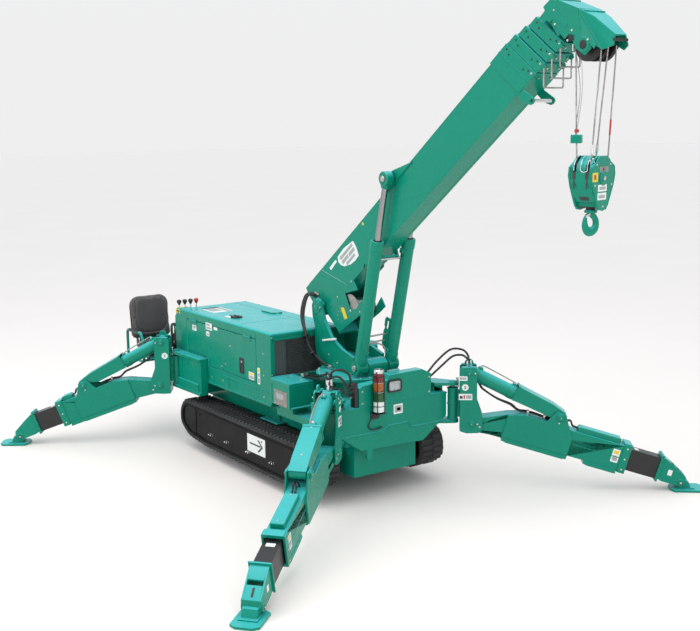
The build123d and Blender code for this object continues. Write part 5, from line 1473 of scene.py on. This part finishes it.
bt.pipe([BOOM.mm(318, -236, 84), BOOM.mm(330, -236, 99)], 10, 6)
bt.done()

# hoses from the boom foot, round behind the column's ear and down to the turntable
top_a, top_b = BOOM.mm(-20, 132, 108), BOOM.mm(0, 108, 106)
for i, (start, off) in enumerate(((top_a, 0), (top_b, 20), (top_b + Vector((6, 10, -26)), 38))):
    path = [start, Vector((404 + off, -162, 1512)), Vector((392 + off, -196, 1420)), Vector((404 + off * 0.9, -212, 1320)), Vector((492 + off * 0.4, -236, 1215)),
            Vector((552, -230 - off * 0.3, 1118)), Vector((600 + off * 0.4, -214, 1046)), Vector((664 + off, -192, 994)), Vector((700 + off, -170, 976))]
    bt = Batch(f"foot_hose_{i}", "hose", None)
    bt.pipe(path, 9.5 if i < 2 else 7.5, 14, smooth_path=True)
    ob = bt.done()
    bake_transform(ob)
bt = Batch("foot_hose_ends", "zinc", "column")
for off in (0, 20, 38):
    bt.pipe([(694 + off, -173, 978), (712 + off, -160, 972)], 11, 6)
bt.box(PLAN, 690, 770, -176, -148, 951, 974, 2)
bt.done()
bt = Batch("foot_hose_ties", "plastic", "column")
for p, d in ((Vector((505, -240, 1195)), Vector((60, 6, -100))), (Vector((588, -226, 1062)), Vector((60, 10, -70)))):
    f = Fr(p, Vector((0, 1, 0)), d.cross(Vector((0, 1, 0))))
    bt.lathe([(26, -6), (28, -5), (28, 5), (26, 6)], f, 0, 0, 20)
bt.done()

bt = Batch("guard_tube", "chrome", "boom_base")
bt.disc(BOOM, 900, -124, 9, -92, 92, 1.5, 24)
bt.done()

# ------------------------------------------------------------------ derrick cylinders
for s in (-1, 1):
    side = "left" if s < 0 else "right"
    T = Fr(DERRICK.mm(0, 0, s * 149), DERRICK.ey, DERRICK.en)  # normal along the cylinder
    bt = Batch(f"derrick_gland_{side}", "green", "derrick_barrel")
    bt.lathe([(48, 955), (52, 958), (52, 1020), (49, 1030), (25.5, 1030)], T, 0, 0, 44, False)
    bt.lathe([(48, 36), (51, 40), (51, 92), (48, 98)], T, 0, 0, 44, False)
    for t in (110, 936):
        bt.prism([(t - 20, 40), (t + 20, 40), (t + 20, 62), (t - 20, 62)], Fr(DERRICK.mm(0, 0, s * 149), DERRICK.ex, DERRICK.en * -s), -18, 18, 3)
    bt.done()
    bt = Batch(f"derrick_wiper_{side}", "hose", "derrick_barrel")
    bt.lathe([(34, 1029.5), (34, 1034), (24, 1036), (23.4, 1030)], T, 0, 0, 36, False)
    bt.done()
    bt = Batch(f"derrick_eye_{side}", "green", "derrick_rod")
    bt.disc(DERRICK, D_LEN, 0, 53.5, *sorted((s * 149 - 32.5, s * 149 + 32.5)), 4, 44)
    bt.lathe([(23, D_LEN - 74), (30, D_LEN - 70), (38, D_LEN - 44), (38, D_LEN - 30)], T, 0, 0, 36, False)
    bt.done()
    bt = Batch(f"derrick_pin_{side}", "zinc", "derrick_rod")
    bt.disc(DERRICK, D_LEN, 0, 20, s * (149 + 32), s * (149 + 41), 2, 28)
    bt.hexhead(DERRICK, D_LEN, 0, s * (149 + 41), 7, s * 6)
    bt.done()
# pipes that cross between the two barrels, a loop above the column, and a slotted bracket
bt = Batch("derrick_cross_pipes", "steel", "derrick_barrel")
for z, dz, x in ((1258, 34, 1070), (1205, 34, 1052)):
    bt.pipe([(x + 40, -112, z + 26), (x + 24, -96, z - 2), (x + 40, -40, z), (x + 66, 100, z + 12), (x + 80, 116, z + 14)], 7, 12, corner=24)
bt.pipe([(1096, -106, 1096), (1080, -84, 1120), (1082, -50, 1182), (1110, 10, 1200), (1140, 66, 1176), (1146, 84, 1130), (1150, 96, 1128)], 6.5, 12, smooth_path=True)
bt.done()
bt = Batch("derrick_bracket", "green", "derrick_barrel")
f = Fr(DERRICK.mm(0, 0, -98), DERRICK.ex, DERRICK.ey)
outer = [(110, 10), (360, 10), (374, 22), (374, 62), (352, 76), (300, 76), (288, 64), (262, 64), (250, 76), (150, 76), (110, 50)]
slot = [(284, 26), (346, 26), (346, 46), (284, 46)]
for pts in ([(110, 10), (374, 10), (374, 26), (110, 26)], [(110, 26), (284, 26), (284, 64), (250, 76), (150, 76), (110, 50)],
            [(284, 46), (346, 46), (346, 76), (300, 76), (284, 64)], [(346, 26), (374, 26), (374, 62), (352, 76), (346, 76)]):
    bt.prism(pts, f, -3, 3, 0.8)
bt.done()

# ------------------------------------------------------------------ boom collars, guides and head
ENDS = (("boom_base", 2862, 190, 96, -70, 250), ("boom_2", 2952, 84, 92, -68, 244), ("boom_3", 3042, 78, 86, -66, 230), ("boom_4", 3134, 80, 80, -63, 216))


def end_u(end, v):
    return end + 90 * (242 - v) / 302


for i, (body, end, length, half, c0, c1) in enumerate(ENDS):
    bt = Batch(f"collar_bolts_{i}", "iron", body)
    for s in (-1, 1):
        for v in (c1 - 34, c1 - 72, 24, -14):
            bt.hexhead(BOOM, end_u(end, v) - 26 - (18 if v in (c1 - 72, 24) else 0), v, s * half, 6, s * 4)
    bt.done()
    bt = Batch(f"collar_studs_{i}", "zinc", body)
    for s in (-1, 1):
        bt.hexhead(BOOM, end_u(end, -50) - 24, -46, s * half, 7, s * 7)
    for w in (-half * 0.55, half * 0.55):
        bt.pipe([BOOM.mm(end_u(end, c0) - 32, c0 + 1, w), BOOM.mm(end_u(end, c0) - 32, c0 - 12, w)], 6, 6)
    bt.done()
    # step rib round the collar's rear edge, and the wear pads that show in its mouth
    bt = Batch(f"collar_rib_{i}", "green", body)
    e0, e1 = end_u(end, c0) - min(length, 84), end_u(end, c1) - min(length, 84)
    for s in (-1, 1):
        bt.prism([(e0 - 2, c0 + 1), (e0 + 7, c0 + 1), (e1 + 7, c1 - 1), (e1 - 2, c1 - 1)], BOOM, *sorted((s * (half - 1), s * (half + 2.2))), 0.8)
    bt.prism([(e1 - 2, c1 - 1), (e1 + 7, c1 - 1), (e1 + 7, c1 + 2.4), (e1 - 2, c1 + 2.4)], BOOM, -half, half, 0.8)
    bt.done()
    bt = Batch(f"collar_pads_{i}", "plastic", body)
    inner = (82.5, 76.5, 65.5, 54.5)[i]
    for w in (-inner * 0.6, inner * 0.6):
        v = (-54, -43, -32, -21)[i]
        bt.prism([(end_u(end, v) - 4, v - 5), (end_u(end, v) + 7, v - 5), (end_u(end, v) + 7, v + 4), (end_u(end, v) - 4, v + 4)], BOOM, w - 14, w + 14, 1)
    bt.done()

# wire guides that hang from the collars
for i, (body, u, v, drop) in enumerate((("boom_2", 3022, -72, 126), ("boom_3", 3106, -70, 124), ("boom_4", 3196, -66, 118))):
    bt = Batch(f"wire_guide_{i}", "steel", body)
    half = ENDS[i + 1][3]
    a, b = BOOM.mm(u, v, 0), BOOM.mm(u, v, 0) - Vector((0, 0, drop))
    bt.pipe([(a.x, -84, a.z + 14), (b.x, -84, b.z), (b.x, 84, b.z), (a.x, 84, a.z + 14)], 5.2, 12, corner=12)
    for y in (-84, 84):
        bt.disc(SIDE, a.x, a.z + 14, 9, -y - 5, -y + 5, 1, 16)
    bt.done()
    bt = Batch(f"wire_guide_lug_{i}", "green", body)
    for s in (-1, 1):
        bt.prism([(u - 22, v + 16), (u + 22, v + 16), (u + 14, v - 10), (u - 10, v - 10)], BOOM, *sorted((s * 78, s * 90)), 1.5)
    bt.done()
# roller bracket below the end of the base section
bt = Batch("roller_bracket", "green", "boom_base")
bt.both([(2745, -58), (2800, -58), (2849, -172), (2846, -192), (2822, -198), (2800, -190), (2764, -140)], BOOM, 84, 92, 2)
bt.done()
bt = Batch("roller", "chrome", "boom_base")
bt.disc(BOOM, 2826, -176, 11, -84, 84, 1.5, 24)
bt.done()
bt = Batch("roller_ends", "iron", "boom_base")
for s in (-1, 1):
    bt.hexhead(BOOM, 2826, -176, s * 92, 9, s * 8)
bt.done()

# head: ribs across the hood, notched bracket plates, end pin, sheave grooves, rope sockets
bt = Batch("head_trim", "green", "boom_5")
for (u, v), (p, q), grow, half in (((3302, 206), (3358, 144), 0.72, 100), ((3439, 11), (3491, -96), 0.35, 87)):
    cu, cv = u + (p - u) * grow, v + (q - v) * grow
    f = Fr(BOOM.mm(cu, cv), BOOM.ex * (p - u) + BOOM.ey * (q - v), -BOOM.en)
    bt.box(f, -5, 5, -half, half, -2, 7, 1.5)
# raised edges where the narrowing cheeks meet the flat sides
bt.both([(3436, 4), (3443, 4), (3443, -300), (3436, -296)], BOOM, 96, 99.4, 1)
bt.both([(3150, 175), (3207, 178), (3300, 182), (3318, 140), (3310, 50), (3323, -4), (3306, -20), (3288, 16), (3256, 92), (3222, 96), (3210, 122), (3186, 128), (3180, 150)], BOOM, 96.5, 101, 1.5)
bt.both([(3390, -206), (3418, -192), (3428, -250), (3400, -260)], BOOM, 97, 102, 1.5)
for s in (-1, 1):
    bt.disc(BOOM, 3352, -186, 46, s * 97, s * 103, 2, 36)
bt.box(BOOM, 3256, 3330, -112, -88, -70, 20, 3)
bt.done()
bt = Batch("head_pins", "iron", "boom_5")
bt.disc(BOOM, 3518, -290, 9, -54, 62, 2, 20)
for s in (-1, 1):
    bt.disc(BOOM, 3352, -186, 26, s * 103, s * 108, 2, 28)
    bt.disc(BOOM, 3300, -92, 20, s * 98, s * 104, 2, 24)
bt.done()
bt = Batch("head_bolts", "zinc", "boom_5")
for s in (-1, 1):
    for u, v in ((3330, -60), (3270, -84), (3246, 60), (3290, 130), (3394, -186)):
        bt.hexhead(BOOM, u, v, s * 98, 7, s * 6)
bt.done()
bt = Batch("sheave_profiles", "iron", "boom_5")
for y in (-55, 0, 70):
    c = -y
    bt.lathe([(26, c - 17), (34, c - 17), (40, c - 8), (80, c - 8), (92, c - 12), (95.5, c - 12), (95.5, c - 9), (88, c), (95.5, c + 9), (95.5, c + 12), (92, c + 12), (80, c + 8), (40, c + 8), (34, c + 17), (26, c + 17)], BOOM, 3352, -186, 56, False)
ob = bt.done()
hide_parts("head_sheaves")
bt = Batch("rope_sockets", "zinc", "boom_5")
HP = BOOM.mm(3352, -186)
for u, v, y in ((3262, -112, -60), (3306, -112, -60)):
    a = BOOM.mm(u, v)
    bt.pipe([(a.x, y, a.z + 6), (a.x, y, a.z - 34)], 7, 14)
bt.done()

# ------------------------------------------------------------------ falls, weight and block
bt_dir = math.radians(14)
BLOCK = Fr((3330, -29, 0), (-math.sin(bt_dir), math.cos(bt_dir), 0), Z)
FALLS = []
for y, fore, along, across in ((-55, -1, -1, -1), (-55, 1, 1, -1), (0, 1, -1, 1), (70, 1, 1, 1)):
    low = BLOCK.mm(across * 103, 2560, along * 42)
    drop = Vector((low.x - HP.x - fore * 95, 0, low.z - HP.z)).normalized()
    top = Vector((HP.x, y, HP.z)) + Vector((-drop.z, 0, drop.x)) * (fore * 101)
    FALLS.append((top, low))


def on_fall(i, z):
    a, b = FALLS[i]
    return a + (b - a) * ((a.z - z) / (a.z - b.z))


# the rope falls run straight between the head and the block
ropes = Batch("rope_strands", "steel", None, 50)
for top, low in FALLS:
    run = (low - top)
    d = run.normalized()
    ex = (Vector((0, 1, 0)) - d * d.y).normalized()
    f = Fr(top, ex, d.cross(ex))
    core = [(4.2, 0.5), (4.2, run.length - 0.5)]
    ropes.lathe(core, f, 0, 0, 10)
    # six strands laid round the core
    for k in range(6):
        path, n = [], int(run.length / 9)
        for j in range(n + 1):
            h = 1 + (run.length - 2) * j / n
            t = math.tau * (k / 6 + h / 62)
            path.append(f.mm(3.1 * math.cos(t), 3.1 * math.sin(t), h))
        ropes.pipe(path, 2.0, 5)
ob = ropes.done()
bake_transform(ob)
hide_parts("hoist_ropes")
w0 = on_fall(0, 2790)
bt = Batch("overwind_weight", "green", "falls")
wf = Fr((w0.x, w0.y, 0), (math.cos(0.5), math.sin(0.5), 0), (-math.sin(0.5), math.cos(0.5), 0))
bt.prism(rr(-32, 32, -26, 26, 10), wf, 2764, 2814, 4, 3)
bt.done()
bt = Batch("overwind_tag", "knob_red", "falls")
bt.disc(PLAN, w0.x, w0.y, 14, 2826, 2846, 4, 20)
bt.done()
bt = Batch("overwind_lines", "steel", "falls")
for u, v, y in ((3262, -150, -60), (3306, -150, -60)):
    a = BOOM.mm(u, v)
    bt.pipe([(a.x, y, a.z - 4), ((a.x + w0.x) / 2, y + 4, (a.z + 2840) / 2), (w0.x + (6 if u > 3280 else -6), w0.y - 4, 2840), (w0.x, w0.y, 2814)], 1.9, 8, smooth_path=True)
bt.done()
bt = Batch("fall_ferrules", "zinc", "block")
for i in (1, 2):
    a, b = on_fall(i, 2756), on_fall(i, 2702)
    bt.pipe([a, b], 9, 16)
bt.done()
bt = Batch("fall_mark", "knob_red", None)
bt.pipe([on_fall(3, 2900), on_fall(3, 2810)], 5.6, 12)
ob = bt.done()
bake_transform(ob)

bt = Batch("block_shell", "green", "block")
# strips of the shell between the rope slots, over the rear and front upper corners
for s in (-1, 1):
    for w0_, w1_ in ((-66, -54), (-30, 30), (54, 66)):
        bt.prism([(s * 136, 2602), (s * 129, 2602), (s * 118, 2634), (s * 92, 2664), (s * 50, 2682), (s * 50, 2690), (s * 96, 2671), (s * 125, 2638)], BLOCK, w0_, w1_, 1)
# swelling rims along both cheeks
rim = [(-96, 2652), (96, 2652), (138, 2628), (146, 2578), (126, 2514), (64, 2396), (38, 2374), (0, 2366), (-38, 2374), (-64, 2396), (-126, 2514), (-146, 2578), (-138, 2628)]
for s in (-1, 1):
    pts = [BLOCK.mm(a * 0.985, 2520 + (b - 2520) * 0.985, s * 76) for a, b in rim]
    bt.pipe(pts, 3.0, 8, closed=True)
    bt.disc(BLOCK, 0, 2560, 44, s * 76, s * 82, 3, 40)
    bt.prism([(-60, 2392), (60, 2392), (44, 2372), (-44, 2372)], BLOCK, *sorted((s * 60, s * 78)), 2)
bt.prism([(-136, 2560), (-128, 2560), (-108, 2478), (-58, 2424), (58, 2424), (108, 2478), (128, 2560), (136, 2560), (114, 2474), (62, 2418), (-62, 2418), (-114, 2474)], BLOCK, -69, 69, 2)
bt.done()
# painted shade: thin dark sheets stand for the shade inside the rope slots and a slot on the lower slope
bt = Batch("block_slot_painted_shade", "dark_print_and_shade", "block")
for w in (-42, 42):
    bt.prism([(-137.2, 2556), (-136.2, 2556), (-136.2, 2600), (-137.2, 2600)], BLOCK, w - 11, w + 11, 0)
    bt.prism([(-139, 2500), (-137.4, 2552), (-136.2, 2552), (-137.8, 2500)], BLOCK, w - 5, w + 5, 0)
bt.prism([(-90, 2452), (-58, 2422), (-61, 2418), (-94, 2450)], BLOCK, -30, 30, 0)
bt.done()
bt = Batch("block_wires", "chrome", "block")
for w in (-50, -6, 38):
    bt.pipe([BLOCK.mm(-56, 2693, w), BLOCK.mm(-104, 2676, w + 4), BLOCK.mm(-136, 2640, w + 8), BLOCK.mm(-143, 2606, w + 10)], 2.6, 10, smooth_path=True)
bt.pipe([BLOCK.mm(-143, 2606, 4), BLOCK.mm(-145, 2598, 26), BLOCK.mm(-143, 2606, 48)], 2.6, 10, smooth_path=True)
bt.done()
bt = Batch("block_sheaves", "iron", "block")
for w in (-42, 42):
    bt.lathe([(26, w - 13), (34, w - 13), (80, w - 8), (92, w - 11), (96, w - 11), (96, w - 8), (88, w), (96, w + 8), (96, w + 11), (92, w + 11), (80, w + 8), (34, w + 13), (26, w + 13)], BLOCK, 0, 2560, 48, False)
bt.done()
bt = Batch("block_bolts", "zinc", "block")
for s in (-1, 1):
    for a, b in ((-84, 2640), (84, 2640), (-100, 2520), (100, 2520), (0, 2392)):
        bt.hexhead(BLOCK, a, b, s * 76, 7, s * 5)
    bt.lathe([(14, s * 82), (14, s * 88), (9, s * 91), (0, s * 92)], BLOCK, 0, 2560, 20, False)
bt.done()
bt = Batch("block_gap", "iron", "block")
bt.box(BLOCK, -47, 47, 2386, 2391, -60, 60, 1)
bt.done()
for s in (1, -1):
    n = "a" if s > 0 else "b"
    label("block_plate_" + n, BLOCK, 6 * s, 2611, 104, 34, s * 76.3, "grey", "block", 4, 1.2)
    bt = Batch("block_plate_dot_" + n, "dark_print_and_shade", "block")
    bt.disc(BLOCK, 0, 2611, 9, s * 77, s * 78, 0.2, 20)
    bt.done()
    label("block_yellow_" + n, BLOCK, -98 * s, 2568, 66, 54, s * 76.3, "yellow", "block", 6, inner=[(-12, 12, -14, 14, "knob_red")])
    label("block_white_1" + n, BLOCK, -8 * s, 2502, 106, 40, s * 76.3, "white", "block", 2, inner=[(-36, 38, -10, 8, "print_grey")])
    label("block_white_2" + n, BLOCK, -12 * s, 2453, 106, 42, s * 76.3, "white", "block", 2, inner=[(-40, 36, -11, 8, "print_grey")])

# hook: a forged, rounded section that swells towards the bowl, with its latch and collar
path = [(0, 2384, 20), (0, 2360, 20), (8, 2342, 20), (30, 2326, 20), (44, 2304, 22), (47, 2280, 24), (38, 2256, 27), (20, 2243, 28), (0, 2239, 29), (-22, 2243, 28), (-40, 2260, 25),
        (-48, 2282, 22), (-48, 2304, 18), (-45, 2322, 14), (-42, 2334, 9), (-41, 2340, 5)]
fine = catmull([Vector((p[0], p[1], p[2])) for p in path], 6)
bm = bmesh.new()
sweep(bm, [M(3330, -29 + p.x, p.y) for p in fine], 0.02, 24, radii=[max(p.z, 3) / 1000 for p in fine])
cx = M(3330, 0, 0).x
for v in bm.verts:
    v.co.x = cx + (v.co.x - cx) * 0.66
hk = finish_mesh("hook_forging", bm, "green", "hook", 60)
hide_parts("hook")
bt = Batch("hook_latch", "zinc", "hook")
hf = Fr((3330, -29, 0), Y, Z)
bt.prism([(-4, 2354), (-38, 2344), (-50, 2326), (-45, 2320), (-32, 2332), (0, 2343)], hf, -9, 9, 1.5)
bt.done()
bt = Batch("hook_collar", "green", "hook")
bt.lathe([(24, 2350), (37, 2352), (39, 2356), (39, 2364), (34, 2368), (24, 2369)], PLAN, 3330, -29, 36, False)
bt.done()
bt = Batch("hook_nut", "iron", "hook")
bt.lathe([(31, 2369), (31, 2384)], PLAN, 3330, -29, 6)
bt.done()

# ------------------------------------------------------------------ hoses between the nose and the front posts
bt = Batch("nose_manifold", "plastic", "machine")
bt.box(PLAN, 1296, 1352, -362, -334, 785, 976, 3)
bt.done()
bt = Batch("nose_manifold_fittings", "zinc", "machine")
for z in (860, 892, 924, 954):
    bt.pipe([(1324, -358, z), (1330, -382, z + 2)], 9, 6)
bt.done()
legR = LEGS["front_right"]
tubes = []
bt = Batch("post_top_fittings_right", "chrome", "leg_front_right_post")
for k, (ds, dn) in enumerate(((-8, -26), (-8, 6), (26, -12))):
    c = legR.post.mm(120 + ds, 0, dn)
    bt.pipe([(c.x, c.y, 996), (c.x, c.y, 1072)], 9.5, 16)
    bt.pipe([(c.x, c.y, 1020), (c.x, c.y, 1034)], 13, 6)
    tubes.append(c)
bt.done()
def arc(name, pts, r=8.5):
    bt = Batch(name, "hose", None)
    bt.pipe(pts, r, 14, smooth_path=True)
    ob = bt.done()
    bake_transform(ob)
    return ob


c0, c1, c2 = tubes
arc("front_hose_0", [(1330, -382, 956), (1350, -420, 960), (1430, -455, 1012), (1500, -520, 1096), (1508, -590, 1140), (1478, -650, 1130), (c0.x, c0.y, 1068)])
arc("front_hose_1", [(1330, -382, 926), (1356, -430, 930), (1470, -500, 968), (1520, -570, 1046), (1510, -630, 1096), (c1.x, c1.y, 1068)])
arc("front_hose_2", [(1330, -382, 894), (1372, -430, 896), (1460, -500, 922), (1500, -580, 984), (c2.x + 8, c2.y + 14, 1020), (c2.x, c2.y, 1068)])
arc("front_hose_3", [(700, -350, 925), (790, -372, 935), (880, -385, 950), (1010, -425, 985), (1170, -500, 1030), (1320, -590, 1085), (c0.x - 16, c0.y - 4, 1100), (c0.x, c0.y, 1068)], 9.5)
arc("front_hose_4", [(700, -385, 918), (790, -400, 928), (890, -412, 938), (1030, -450, 962), (1180, -520, 1000), (1330, -600, 1050), (c2.x - 20, c2.y - 4, 1092), (c2.x, c2.y, 1068)], 9.5)
bt = Batch("deck_fittings", "zinc", "machine")
for y, z in ((-350, 925), (-385, 918)):
    bt.pipe([(672, y, z - 2), (704, y - 1, z)], 12, 6)
bt.box(PLAN, 664, 676, -398, -372, 899, 936, 1.5)
bt.done()
# left post: two arcs out of the nose cover
legL = LEGS["front_left"]
bt = Batch("post_top_fittings_left", "chrome", "leg_front_left_post")
tl = []
for ds, dn in ((-8, 20), (20, -8)):
    c = legL.post.mm(120 + ds, 0, dn)
    bt.pipe([(c.x, c.y, 994), (c.x, c.y, 1034)], 9, 16)
    tl.append(c)
bt.done()
arc("left_hose_0", [(1290, 366, 930), (1296, 402, 962), (1300, 480, 1030), (1330, 590, 1110), (1390, 665, 1108), (1430, 690, 1060), (tl[0].x, tl[0].y, 1030)], 8.5)
arc("left_hose_1", [(1310, 366, 900), (1320, 410, 930), (1336, 490, 990), (1366, 580, 1062), (1410, 640, 1072), (1440, 668, 1048), (tl[1].x, tl[1].y, 1030)], 8.5)
bt = Batch("left_hose_ends", "zinc", "machine")
bt.pipe([(1288, 352, 922), (1291, 372, 934)], 12, 6)
bt.pipe([(1308, 352, 892), (1311, 372, 904)], 12, 6)
bt.done()


lo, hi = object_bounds()
